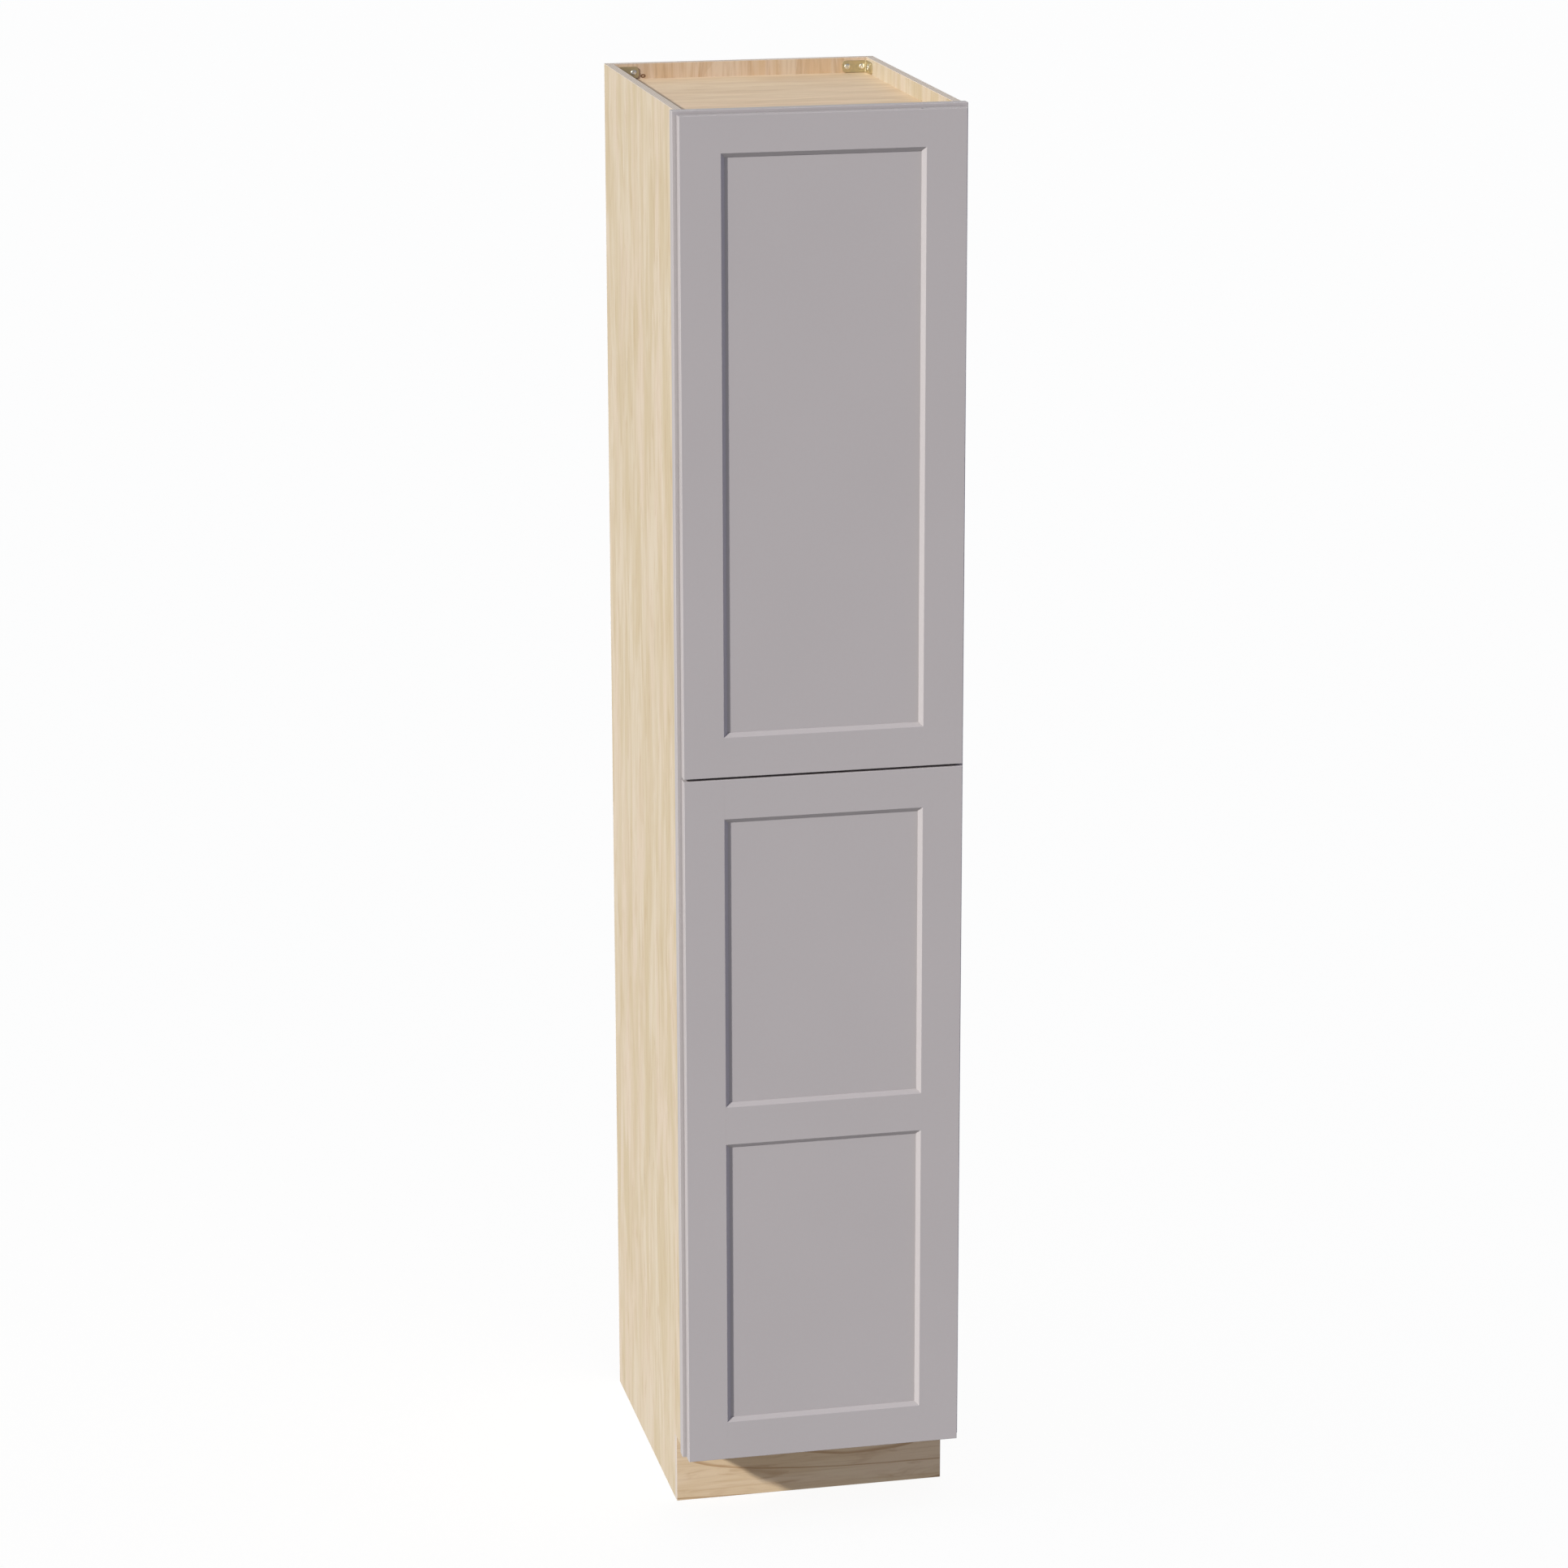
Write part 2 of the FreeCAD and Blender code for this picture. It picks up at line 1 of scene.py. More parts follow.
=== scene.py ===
"""Looks of a tall face-frame pantry cabinet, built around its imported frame.

Metres, in the frame's own axes: +X to the right seen from the front, +Y to the back and +Z up, with
the floor at zero. The plywood case, the shelf pins and the hinges keep their solids and get a finish.
The doors, the face frame, the shelves, the toe-kick board and the screws are remade as finer surfaces.
"""
import sys
import logging
from collections.abc import Callable, Sequence
from dataclasses import dataclass, field, replace
from enum import Enum, IntEnum
from math import cos, pi, radians, sin

import bmesh
import bpy
import numpy as np
from mathutils import Matrix, Vector


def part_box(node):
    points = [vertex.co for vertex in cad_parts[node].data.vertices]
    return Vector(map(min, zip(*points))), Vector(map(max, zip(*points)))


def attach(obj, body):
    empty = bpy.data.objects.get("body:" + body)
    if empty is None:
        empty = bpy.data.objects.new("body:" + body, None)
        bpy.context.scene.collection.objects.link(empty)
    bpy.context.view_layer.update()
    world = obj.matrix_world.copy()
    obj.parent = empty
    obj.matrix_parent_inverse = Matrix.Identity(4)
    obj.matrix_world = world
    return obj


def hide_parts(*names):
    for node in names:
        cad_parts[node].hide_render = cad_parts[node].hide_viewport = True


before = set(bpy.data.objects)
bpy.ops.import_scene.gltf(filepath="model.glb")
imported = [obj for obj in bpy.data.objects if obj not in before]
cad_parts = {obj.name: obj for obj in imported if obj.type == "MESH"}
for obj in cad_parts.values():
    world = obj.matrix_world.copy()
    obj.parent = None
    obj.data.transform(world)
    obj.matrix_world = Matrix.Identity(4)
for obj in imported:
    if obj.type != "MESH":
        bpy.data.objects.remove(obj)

LOG = logging.getLogger("pantry_cabinet")
MM = 0.001
ARRIS = "arris"                     # point attribute: 1 on an outer rounded edge, -1 in an inner corner
SHARP_ANGLE = radians(50)           # edges that turn further stay sharp

Colour = tuple[float, float, float]


class Axis(IntEnum):
    """A direction of the frame."""

    X = 0
    Y = 1
    Z = 2


class Slot(Enum):
    """The record's material slots."""

    PAINT = "grey_paint"
    MAPLE = "maple_veneer"
    NICKEL = "nickel_plate"
    ZINC = "yellow_zinc"
    SCREW = "zinc_screw"
    BUMPER = "clear_bumper"


# ------------------------------ shader maths

def operator(operation: str, reflected: bool = False) -> Callable[["Term", "Term | float"], "Term"]:
    """Makes an operator of Term.

    Args:
        operation: the Math node's operation.
        reflected: whether the other operand comes first, as in 1 - term.

    Returns:
        A method that takes the other operand and gives the node's result.
    """
    def method(term: "Term", other: "Term | float") -> "Term":
        """Adds the operator's Math node."""
        return term.math(operation, first=other) if reflected else term.math(operation, other)
    return method


class Term:
    """A shader value that can be used in Python expressions.

    Every operation adds one Math node to the book that the term belongs to.
    """

    def __init__(self, book: "NodeBook", socket: bpy.types.NodeSocket) -> None:
        """Keeps the book and the output socket that carries the value."""
        self.book = book
        self.socket = socket

    def math(self, operation: str, *others: "Term | float", first: "Term | float | None" = None) -> "Term":
        """Adds a Math node.

        Args:
            operation: Blender's name for the operation.
            others: the operands after this term.
            first: an operand that comes before this term, for reflected forms.

        Returns:
            The node's result.
        """
        operands = ([self] if first is None else [first, self]) + list(others)
        node = self.book.node("Math", {"operation": operation}, dict(enumerate(operands)))
        return Term(self.book, node.outputs[0])

    __add__ = __radd__ = operator("ADD")
    __sub__, __rsub__ = operator("SUBTRACT"), operator("SUBTRACT", reflected=True)
    __mul__ = __rmul__ = operator("MULTIPLY")
    __truediv__, __rtruediv__ = operator("DIVIDE"), operator("DIVIDE", reflected=True)
    __pow__ = operator("POWER")
    __lt__ = operator("LESS_THAN")      # 1 where this term is less, else 0
    highest = operator("MAXIMUM")       # the larger of two

    def __abs__(self) -> "Term":
        """Distance of this term from zero."""
        return self.math("ABSOLUTE")

    def ramp(self, low: float, high: float) -> "Term":
        """Adds a smooth step.

        Args:
            low: value of this term where the step is 0.
            high: value where it is 1, which may be the lower one.

        Returns:
            The step.
        """
        node = self.book.node("MapRange", {"interpolation_type": "SMOOTHSTEP"},
                              {"Value": self, "From Min": low, "From Max": high})
        return Term(self.book, node.outputs[0])


class NodeBook:
    """The node tree of a material or a world, and the one method that adds nodes to it."""

    def __init__(self, owner: bpy.types.Material | bpy.types.World) -> None:
        """Takes over the owner's node tree and empties it."""
        owner.use_nodes = True
        self.owner = owner
        self.tree = owner.node_tree
        self.tree.nodes.clear()

    @classmethod
    def material(cls, name: str) -> "NodeBook":
        """The book of a new material."""
        return cls(bpy.data.materials.new(name))

    def node(self, kind: str, settings: dict | None = None, inputs: dict | None = None) -> bpy.types.Node:
        """Adds a node.

        Args:
            kind: the node's type, without its "ShaderNode" prefix.
            settings: attributes to set first; "stops" holds a ramp's places and colours.
            inputs: values or links by socket name or number.

        Returns:
            The node.
        """
        made = self.tree.nodes.new("ShaderNode" + kind)
        for name, value in (settings or {}).items():
            if name == "stops":
                self._set_stops(made.color_ramp, value)
            else:
                setattr(made, name, value)
        for key, value in (inputs or {}).items():
            source = value.socket if isinstance(value, Term) else value
            if isinstance(source, bpy.types.NodeSocket):
                self.tree.links.new(source, made.inputs[key])
            else:
                made.inputs[key].default_value = source
        return made

    @staticmethod
    def _set_stops(ramp: bpy.types.ColorRamp, stops: Sequence[tuple[float, Colour]]) -> None:
        """Puts the stops, as (place, colour), on a colour ramp."""
        while len(ramp.elements) < len(stops):
            ramp.elements.new(1.0)
        for element, (place, colour) in zip(ramp.elements, stops):
            element.position = place
            element.color = (*colour, 1.0)

    def object_place(self, stretch: Sequence[float] = (1, 1, 1),
                     shift: Sequence[float] = (0, 0, 0)) -> bpy.types.NodeSocket:
        """Gives Object coordinates.

        Args:
            stretch: factor for each axis.
            shift: distance added to each axis after that.

        Returns:
            The vector.
        """
        place = self.node("TexCoord").outputs["Object"]
        settings = {"vector_type": "POINT"}
        return self.node("Mapping", settings, {"Vector": place, "Scale": tuple(stretch),
                                               "Location": tuple(shift)}).outputs[0]

    def part(self, axis: Axis) -> Term:
        """One coordinate of the point, in metres."""
        place = self.node("TexCoord").outputs["Object"]
        return Term(self, self.node("SeparateXYZ", None, {0: place}).outputs[int(axis)])

    def noise(self, vector: bpy.types.NodeSocket, scale: float = 1.0, detail: float = 2.0,
              roughness: float = 0.5, distortion: float = 0.0) -> Term:
        """Adds smooth noise, which is from about 0.2 to 0.8.

        Args:
            vector: where it is read.
            scale: spots to the unit of the vector.
            detail: octaves of finer noise.
            roughness: strength of each octave beside the one before.
            distortion: how far the spots are swirled.

        Returns:
            The noise.
        """
        values = {"Vector": vector, "Scale": scale, "Detail": detail, "Roughness": roughness,
                  "Distortion": distortion}
        return Term(self, self.node("TexNoise", None, values).outputs[0])

    def blend(self, low: "Colour | bpy.types.NodeSocket", high: "Colour | bpy.types.NodeSocket",
              share: Term) -> bpy.types.NodeSocket:
        """Mixes two colours.

        Args:
            low: colour where share is 0.
            high: colour where share is 1.
            share: how much of the second colour shows.

        Returns:
            The mixed colour.
        """
        settings = {"data_type": "RGBA", "blend_type": "MIX", "clamp_factor": True}
        colours = {key: (*value, 1.0) if isinstance(value, tuple) else value
                   for key, value in ((6, low), (7, high))}
        return self.node("Mix", settings, {0: share, **colours}).outputs[2]

    def bump(self, height: Term, distance: float, strength: float,
             base: bpy.types.NodeSocket | None = None) -> bpy.types.NodeSocket:
        """Adds a bump.

        Args:
            height: relief, from 0 to 1.
            distance: metres that the relief stands for.
            strength: share of the bump that shows.
            base: normal of another bump below this one.

        Returns:
            The surface's normal.
        """
        inputs = {"Strength": strength, "Distance": distance, "Height": height}
        if base is not None:
            inputs["Normal"] = base
        return self.node("Bump", None, inputs).outputs[0]

    def surface(self, **sockets: object) -> bpy.types.Material:
        """Ends the tree with a Principled shader.

        Args:
            sockets: its inputs, with underscores for spaces.

        Returns:
            The finished material.
        """
        inputs = {name.replace("_", " "): value for name, value in sockets.items()}
        shader = self.node("BsdfPrincipled", None, inputs)
        output = self.node("OutputMaterial")
        self.tree.links.new(shader.outputs[0], output.inputs[0])
        return self.owner


# ------------------------------ finishes

@dataclass(frozen=True)
class PaintFinish:
    """Sprayed satin paint on wood, a little lighter where it thins on the arrises, which also paints a
    highlight there, and darker in its inner corners as painted shade.
    """

    name: str
    colour: Colour
    # lighter colour of the outer arrises: thin, worn paint and a painted highlight
    arris_wear_and_highlight_colour: Colour
    # colour of the painted shade in inner corners
    crease_shade_colour: Colour
    roughness: float = 0.42
    coat: float = 0.08

    def build(self) -> bpy.types.Material:
        """Makes the material."""
        book = NodeBook.material(self.name)
        cloud = book.noise(book.object_place(), 3.5, 3.0)
        mottle = book.noise(book.object_place(), 160.0, 2.0)
        peel = book.noise(book.object_place(), 620.0, 2.0, 0.6)
        fibre = book.noise(book.object_place((260, 260, 18)), 1.0, 3.0, 0.6)
        edge = Term(book, book.node("Attribute", {"attribute_name": ARRIS}).outputs["Fac"])
        dark = tuple(part * 0.955 for part in self.colour)
        light = tuple(part * 1.035 for part in self.colour)
        base = book.blend(dark, light, cloud * 0.7 + mottle * 0.3)
        # The outer arrises turn lighter: the paint is worn thin there, and the lighter edge is also a painted
        # highlight.
        wear_and_highlight = edge.ramp(0.25, 1.0) * (0.55 + 0.45 * cloud)
        base = book.blend(base, self.arris_wear_and_highlight_colour, wear_and_highlight)
        # Painted shade: the inner corners are darkened.
        base = book.blend(base, self.crease_shade_colour, (edge * -1.0).ramp(0.2, 1.0) * 0.55)
        shine = self.roughness + 0.10 * (peel - 0.5) + 0.08 * (cloud - 0.5) - 0.05 * wear_and_highlight
        relief = book.bump(peel, 0.00007, 0.50)
        relief = book.bump(fibre, 0.00005, 0.25, relief)
        return book.surface(Base_Color=base, Roughness=shine, Normal=relief, Coat_Weight=self.coat,
                            Coat_Roughness=0.3, Specular_IOR_Level=0.45)


@dataclass(frozen=True)
class Tone:
    """Three colours of one sheet of veneer."""

    pale: Colour
    warm: Colour
    brown: Colour


@dataclass(frozen=True)
class VeneerFinish:
    """Clear-coated maple veneer, with plies on the cut edges of plywood.

    The figure has four scales: broad clouds of tone, growth lines that close into long arches, short
    brown streaks, and fine fibres. Each is noise stretched along the grain.
    """

    name: str
    grain: Axis
    tone: Tone
    shift: tuple[float, float, float]   # what moves this board to its own part of the log
    arch: float = 0.30                  # strength of the growth lines
    rings: float = 22.0                 # how many levels of noise have a growth line
    late: float = 0.62                  # where in each ring the late wood starts
    streak: float = 0.45                # strength of the fine streaks
    flecks: float = 0.35                # strength of the brown mineral streaks
    fleck_along: float = 7.0            # streaks to the metre along the grain
    ply_axis: Axis = Axis.Z             # thickness direction of the plywood
    cut_planes: tuple[tuple[Axis, float], ...] = ()     # planes where the plies show
    cut_depth: float = 0.65 * MM        # how far from such a plane they show
    two_plies: float = 3.6 * MM         # thickness of a pale ply and a dark one
    pale_ply: Colour = (0.66, 0.585, 0.51)
    dark_ply: Colour = (0.50, 0.42, 0.34)
    knot: tuple[float, float, float] | None = None      # middle of a pin knot
    knot_half: tuple[float, float] = (4.2 * MM, 3.2 * MM)
    knot_depth: float = 2.0 * MM
    knot_colour: Colour = (0.13, 0.055, 0.022)
    roughness: float = 0.46

    def _place(self, book: NodeBook, along: float, across: float) -> bpy.types.NodeSocket:
        """Object coordinates for a pattern with that many spots to the metre along and across the grain."""
        stretch = tuple(along if axis == self.grain else across for axis in Axis)
        return book.object_place(stretch, self.shift)

    def _rings(self, book: NodeBook, clouds: Term) -> Term:
        """Growth lines, from 0 in the pale early wood to 1 in the thin late wood.

        They are the level lines of noise that is long in the grain's direction, so they run along the
        grain, close up and open again, and bend round into arches where the noise has a peak.
        """
        hills = book.noise(self._place(book, 0.9, 9.0), 1.0, 1.0, 0.4) + 0.04 * clouds
        saw = (hills * self.rings).math("FRACT")
        return saw.ramp(self.late, 0.95) * saw.ramp(1.0, 0.975)

    def _plies(self, book: NodeBook) -> tuple[Term, Term]:
        """Where cut edges show, and how dark the ply at each point is."""
        shown: Term | float = 0.0
        for axis, place in self.cut_planes:
            here = abs(book.part(axis) - place) < self.cut_depth
            shown = here.highest(shown)
        layer = (book.part(self.ply_axis) / self.two_plies).math("FRACT")
        dark = layer.ramp(0.42, 0.5) * layer.ramp(1.0, 0.93)
        return shown, dark

    def build(self) -> bpy.types.Material:
        """Makes the material."""
        book = NodeBook.material(self.name)
        clouds = book.noise(self._place(book, 2.2, 8.0), 1.0, 3.0, 0.6, 0.4)
        bands = book.noise(self._place(book, 3.6, 26.0), 1.0, 3.0, 0.6, 0.6)
        streaks = book.noise(self._place(book, 11.0, 62.0), 1.0, 3.0, 0.6, 0.8)
        lines = book.noise(self._place(book, 5.0, 240.0), 1.0, 3.0, 0.6, 0.4)
        fibres = book.noise(self._place(book, 16.0, 1500.0), 1.0, 2.0, 0.6)
        rings = self._rings(book, clouds)
        pale, warm, brown = self.tone.pale, self.tone.warm, self.tone.brown
        pink = tuple(part * tint for part, tint in zip(pale, (1.0, 0.965, 0.975)))
        mineral = book.noise(self._place(book, self.fleck_along, 130.0), 1.0, 2.0, 0.5, 1.0).ramp(0.66, 0.76)
        tan = tuple(part * 0.66 for part in brown)
        layers = ((pink, clouds.ramp(0.42, 0.58)),
                  (warm, bands.ramp(0.38, 0.66)),
                  (brown, rings * self.arch * (0.35 + 0.9 * bands)),
                  (brown, streaks.ramp(0.50, 0.72) * self.streak),
                  (brown, lines.ramp(0.48, 0.72) * (self.streak * 0.6)),
                  (tan, mineral * self.flecks),
                  (pale, fibres.ramp(0.45, 0.8) * 0.25))
        colour = pale
        for over, share in layers:
            colour = book.blend(colour, over, share)
        if self.knot is not None:
            colour = self._with_knot(book, colour)
        shown, dark = self._plies(book)
        pores = book.noise(book.object_place(), 2300.0, 2.0, 0.7)
        cut = book.blend(self.pale_ply, self.dark_ply, dark * (0.55 + 0.6 * pores))
        colour = book.blend(colour, cut, shown)
        relief = book.bump(fibres * 0.6 + streaks * 0.4, 0.00008, 0.30)
        shine = self.roughness + 0.14 * (streaks - 0.5) + 0.08 * (bands - 0.5)
        return book.surface(Base_Color=colour, Roughness=shine, Normal=relief, Coat_Weight=0.10,
                            Coat_Roughness=0.35, Specular_IOR_Level=0.4)

    def _with_knot(self, book: NodeBook, colour: bpy.types.NodeSocket) -> bpy.types.NodeSocket:
        """Adds a small pin knot: a brown ring about a paler heart, wider than it is high."""
        aside = (book.part(Axis.X) - self.knot[0]) / self.knot_half[0]
        above = (book.part(Axis.Z) - self.knot[2]) / self.knot_half[1]
        away = (aside * aside + above * above) ** 0.5
        ring = away.ramp(1.15, 0.85) * (0.35 + 0.65 * away.ramp(0.1, 0.75))
        ring = ring * (book.part(Axis.Y) < self.knot[1] + self.knot_depth)
        return book.blend(colour, self.knot_colour, ring)


@dataclass(frozen=True)
class MetalFinish:
    """Plated steel with faint drawing lines and a little tint from the plating."""

    name: str
    colour: Colour
    tint: Colour
    roughness: float
    lines: Axis = Axis.Z

    def build(self) -> bpy.types.Material:
        """Makes the material."""
        book = NodeBook.material(self.name)
        stretch = tuple(60.0 if axis == self.lines else 2600.0 for axis in Axis)
        drawn = book.noise(book.object_place(stretch), 1.0, 2.0)
        stain = book.noise(book.object_place(), 85.0, 3.0, 0.6)
        speck = book.noise(book.object_place(), 900.0, 2.0)
        colour = book.blend(self.colour, self.tint, stain.ramp(0.35, 0.7))
        dull = tuple(part * 0.62 for part in self.tint)
        colour = book.blend(colour, dull, speck.ramp(0.62, 0.8) * 0.5)
        shine = self.roughness + 0.16 * (stain - 0.5) + 0.10 * (drawn - 0.5)
        return book.surface(Base_Color=colour, Metallic=1.0, Roughness=shine,
                            Normal=book.bump(drawn, 0.00003, 0.3))


@dataclass(frozen=True)
class SoftFinish:
    """Clear soft plastic of the door bumpers, slightly clouded."""

    name: str
    colour: Colour

    def build(self) -> bpy.types.Material:
        """Makes the material."""
        book = NodeBook.material(self.name)
        cloud = book.noise(book.object_place(), 700.0, 2.0)
        base = book.blend(self.colour, tuple(part * 0.86 for part in self.colour), cloud)
        return book.surface(Base_Color=base, Roughness=0.25 + 0.2 * cloud, Specular_IOR_Level=0.5,
                            Alpha=0.72, Normal=book.bump(cloud, 0.00005, 0.2))


@dataclass(frozen=True)
class FloorFinish:
    """Pale seamless studio floor."""

    name: str
    colour: Colour
    glow: float

    def build(self) -> bpy.types.Material:
        """Makes the material."""
        book = NodeBook.material(self.name)
        cloud = book.noise(book.object_place(), 0.6, 2.0)
        base = book.blend(self.colour, tuple(part * 0.985 for part in self.colour), cloud)
        return book.surface(Base_Color=base, Roughness=0.9, Specular_IOR_Level=0.1,
                            Emission_Color=(1.0, 1.0, 1.0, 1.0), Emission_Strength=self.glow)


# ------------------------------ surfaces

@dataclass(frozen=True)
class Outline:
    """A closed outline in a plane: points and outward normals as (N, 2) rows, and N arris values."""

    points: np.ndarray
    normals: np.ndarray
    arris: np.ndarray


def unit(vectors: np.ndarray) -> np.ndarray:
    """Rows of an array, each made one unit long."""
    return vectors / np.linalg.norm(vectors, axis=-1, keepdims=True)


def rounded_outline(corners: Sequence[Sequence[float]], radii: Sequence[float] | float,
                    steps: int = 4) -> Outline:
    """Rounds every corner of a closed outline.

    About the centre of its arc, a corner runs from start to end as
    (sin((1 - t) f) start + sin(t f) end) / sin(f), where f is the angle by which the outline turns.

    Args:
        corners: sharp corners in order, with no corner on a straight line.
        radii: one radius for each corner, or one for all.
        steps: spans in each arc.

    Returns:
        The rounded outline.
    """
    corner = np.asarray(corners, float)
    radius = np.broadcast_to(np.asarray(radii, float), (len(corner),))[:, None]
    back = unit(np.roll(corner, 1, 0) - corner)
    ahead = unit(np.roll(corner, -1, 0) - corner)
    half = np.arccos(np.clip(np.sum(back * ahead, 1, keepdims=True), -1, 1)) / 2
    centre = corner + unit(back + ahead) * radius / np.sin(half)
    start = (corner + back * radius / np.tan(half) - centre)[:, None]
    end = (corner + ahead * radius / np.tan(half) - centre)[:, None]
    turn = (pi - 2 * half)[:, None]
    t = np.linspace(0, 1, steps + 1)[None, :, None]
    arc = (np.sin((1 - t) * turn) * start + np.sin(t * turn) * end) / np.sin(turn)
    following = np.roll(corner, -1, 0)
    area = np.sum(corner[:, 0] * following[:, 1] - corner[:, 1] * following[:, 0])
    bend = back[:, 1] * ahead[:, 0] - back[:, 0] * ahead[:, 1]
    sign = np.sign(bend * area)[:, None, None]
    arris = np.broadcast_to(sign * np.sin(pi * t), arc.shape[:2] + (1,))
    points = (centre[:, None] + arc).reshape(-1, 2)
    return Outline(points, unit(arc * sign).reshape(-1, 2), arris.reshape(-1))


@dataclass
class Patch:
    """A piece of closed mesh: points as (V, 3) rows, faces as lists of point numbers, V arris values."""

    points: np.ndarray
    faces: list[list[int]]
    arris: np.ndarray

    @classmethod
    def through(cls, rings: np.ndarray, arris: np.ndarray | None = None) -> "Patch":
        """Closed surface through rings of equal length, with a cap on the first and the last.

        Args:
            rings: (M, N, 3) points.
            arris: (M, N) or (N,) arris values, or None for a surface without any.

        Returns:
            The patch.
        """
        count, size = rings.shape[:2]
        index = np.arange(count * size).reshape(count, size)
        beside = np.roll(index, -1, 1)
        quads = np.stack([index[:-1], beside[:-1], beside[1:], index[1:]], -1).reshape(-1, 4)
        faces = quads.tolist() + [index[0].tolist(), index[-1].tolist()]
        values = np.zeros(size) if arris is None else arris
        return cls(rings.reshape(-1, 3), faces, np.broadcast_to(values, (count, size)).reshape(-1))

    @classmethod
    def joined(cls, patches: Sequence["Patch"]) -> "Patch":
        """Several patches as one, each still a separate shell."""
        starts = np.cumsum([0] + [len(patch.points) for patch in patches[:-1]])
        faces = [[number + int(start) for number in face]
                 for patch, start in zip(patches, starts) for face in patch.faces]
        points = np.concatenate([patch.points for patch in patches])
        return cls(points, faces, np.concatenate([patch.arris for patch in patches]))

    def moved(self, place: Matrix) -> "Patch":
        """The same patch turned and moved by a 4 by 4 matrix."""
        turn = np.array(place)
        return replace(self, points=self.points @ turn[:3, :3].T + turn[:3, 3])

    def object(self, name: str) -> bpy.types.Object:
        """Makes a mesh object at the origin, with doubles merged and faces turned outwards.

        Args:
            name: name of the object and its mesh.

        Returns:
            The object, in the scene.
        """
        mesh = bpy.data.meshes.new(name)
        mesh.from_pydata(self.points.tolist(), [], self.faces)
        mesh.attributes.new(ARRIS, "FLOAT", "POINT").data.foreach_set("value", self.arris.astype(np.float32))
        work = bmesh.new()
        work.from_mesh(mesh)
        bmesh.ops.remove_doubles(work, verts=work.verts, dist=1e-7)
        bmesh.ops.recalc_face_normals(work, faces=work.faces)
        work.to_mesh(mesh)
        work.free()
        made = bpy.data.objects.new(name, mesh)
        bpy.context.scene.collection.objects.link(made)
        return made


def carried(outline: Outline, stations: np.ndarray, insets: np.ndarray,
            axes: tuple[Axis, Axis, Axis]) -> np.ndarray:
    """Carries an outline along a line.

    Ring m lies at stations[m] and is drawn in by insets[m] along the outline's normals.

    Args:
        outline: the outline.
        stations: M places along the line.
        insets: M distances.
        axes: the axes of the outline's two coordinates and of the line.

    Returns:
        (M, N, 3) rings.
    """
    flat = outline.points[None] - np.asarray(insets)[:, None, None] * outline.normals[None]
    rings = np.empty(flat.shape[:2] + (3,))
    rings[..., axes[0]] = flat[..., 0]
    rings[..., axes[1]] = flat[..., 1]
    rings[..., axes[2]] = np.asarray(stations)[:, None]
    return rings


def rectangle(box: tuple[Vector, Vector], first: Axis, second: Axis) -> list[tuple[float, float]]:
    """Four corners of a box seen along the third axis."""
    low, high = box
    return [(low[first], low[second]), (high[first], low[second]),
            (high[first], high[second]), (low[first], high[second])]


def eased_ends(low: float, high: float, radius: float,
               steps: int = 4) -> tuple[np.ndarray, np.ndarray, np.ndarray]:
    """Stations and insets of a bar with quarter-round ends.

    At an angle a from 0 to a right angle, the surface is radius (1 - cos a) from the end and drawn in
    by radius (1 - sin a).

    Args:
        low: start of the bar.
        high: end of the bar.
        radius: radius of the rounds.
        steps: spans in each round.

    Returns:
        Stations, insets and the arris value of each ring.
    """
    angle = np.linspace(0, pi / 2, steps + 1)
    away = radius * (1 - np.cos(angle))
    inset = radius * (1 - np.sin(angle))
    edge = np.sin(2 * angle)
    return (np.concatenate([low + away, high - away[::-1]]), np.concatenate([inset, inset[::-1]]),
            np.concatenate([edge, edge[::-1]]))


def board(low: Vector, high: Vector, radius: float) -> Patch:
    """Rectangular board with all its edges rounded, carried along its longest side."""
    size = np.array(high) - np.array(low)
    along = Axis(int(np.argmax(size)))
    first, second = [axis for axis in Axis if axis != along]
    outline = rounded_outline(rectangle((low, high), first, second), radius)
    stations, insets, edge = eased_ends(low[along], high[along], radius)
    arris = np.maximum(outline.arris[None], edge[:, None])
    return Patch.through(carried(outline, stations, insets, (first, second, along)), arris)


def turned_rings(radii: np.ndarray, heights: np.ndarray, segments: int) -> np.ndarray:
    """Works out a surface of revolution about Z.

    Point (m, n) has the radius radii[m] and the height heights[m], at the angle 2 pi n / segments.

    Args:
        radii: M radii.
        heights: M heights.
        segments: N points round each ring.

    Returns:
        (M, N, 3) rings.
    """
    angle = np.linspace(0, 2 * pi, segments, endpoint=False)
    rings = np.empty((len(radii), segments, 3))
    rings[..., 0] = radii[:, None] * np.cos(angle)
    rings[..., 1] = radii[:, None] * np.sin(angle)
    rings[..., 2] = heights[:, None]
    return rings


def finish_piece(piece: bpy.types.Object, body: str, material: bpy.types.Material, slot: Slot,
                 *replaced: str) -> None:
    """Shades a new piece, gives it its material and ties it to the frame.

    Args:
        piece: the new object.
        body: the body that it moves with.
        material: its material.
        slot: the record's slot that the material stands for; not used.
        replaced: the frame's nodes that it stands for.
    """
    piece.data.materials.append(material)
    piece.data.shade_smooth()
    piece.data.set_sharp_from_angle(angle=SHARP_ANGLE)
    normals = piece.modifiers.new("even_normals", "WEIGHTED_NORMAL")
    normals.keep_sharp = True
    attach(piece, body)
    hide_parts(*replaced)
    LOG.info("%s: %d faces on %s", piece.name, len(piece.data.polygons), body)


def dress_node(name: str, material: bpy.types.Material) -> None:
    """Gives one of the frame's own nodes a material."""
    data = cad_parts[name].data
    if not data.materials:
        data.materials.append(material)
    for number in range(len(data.materials)):
        data.materials[number] = material


# ------------------------------ finish library

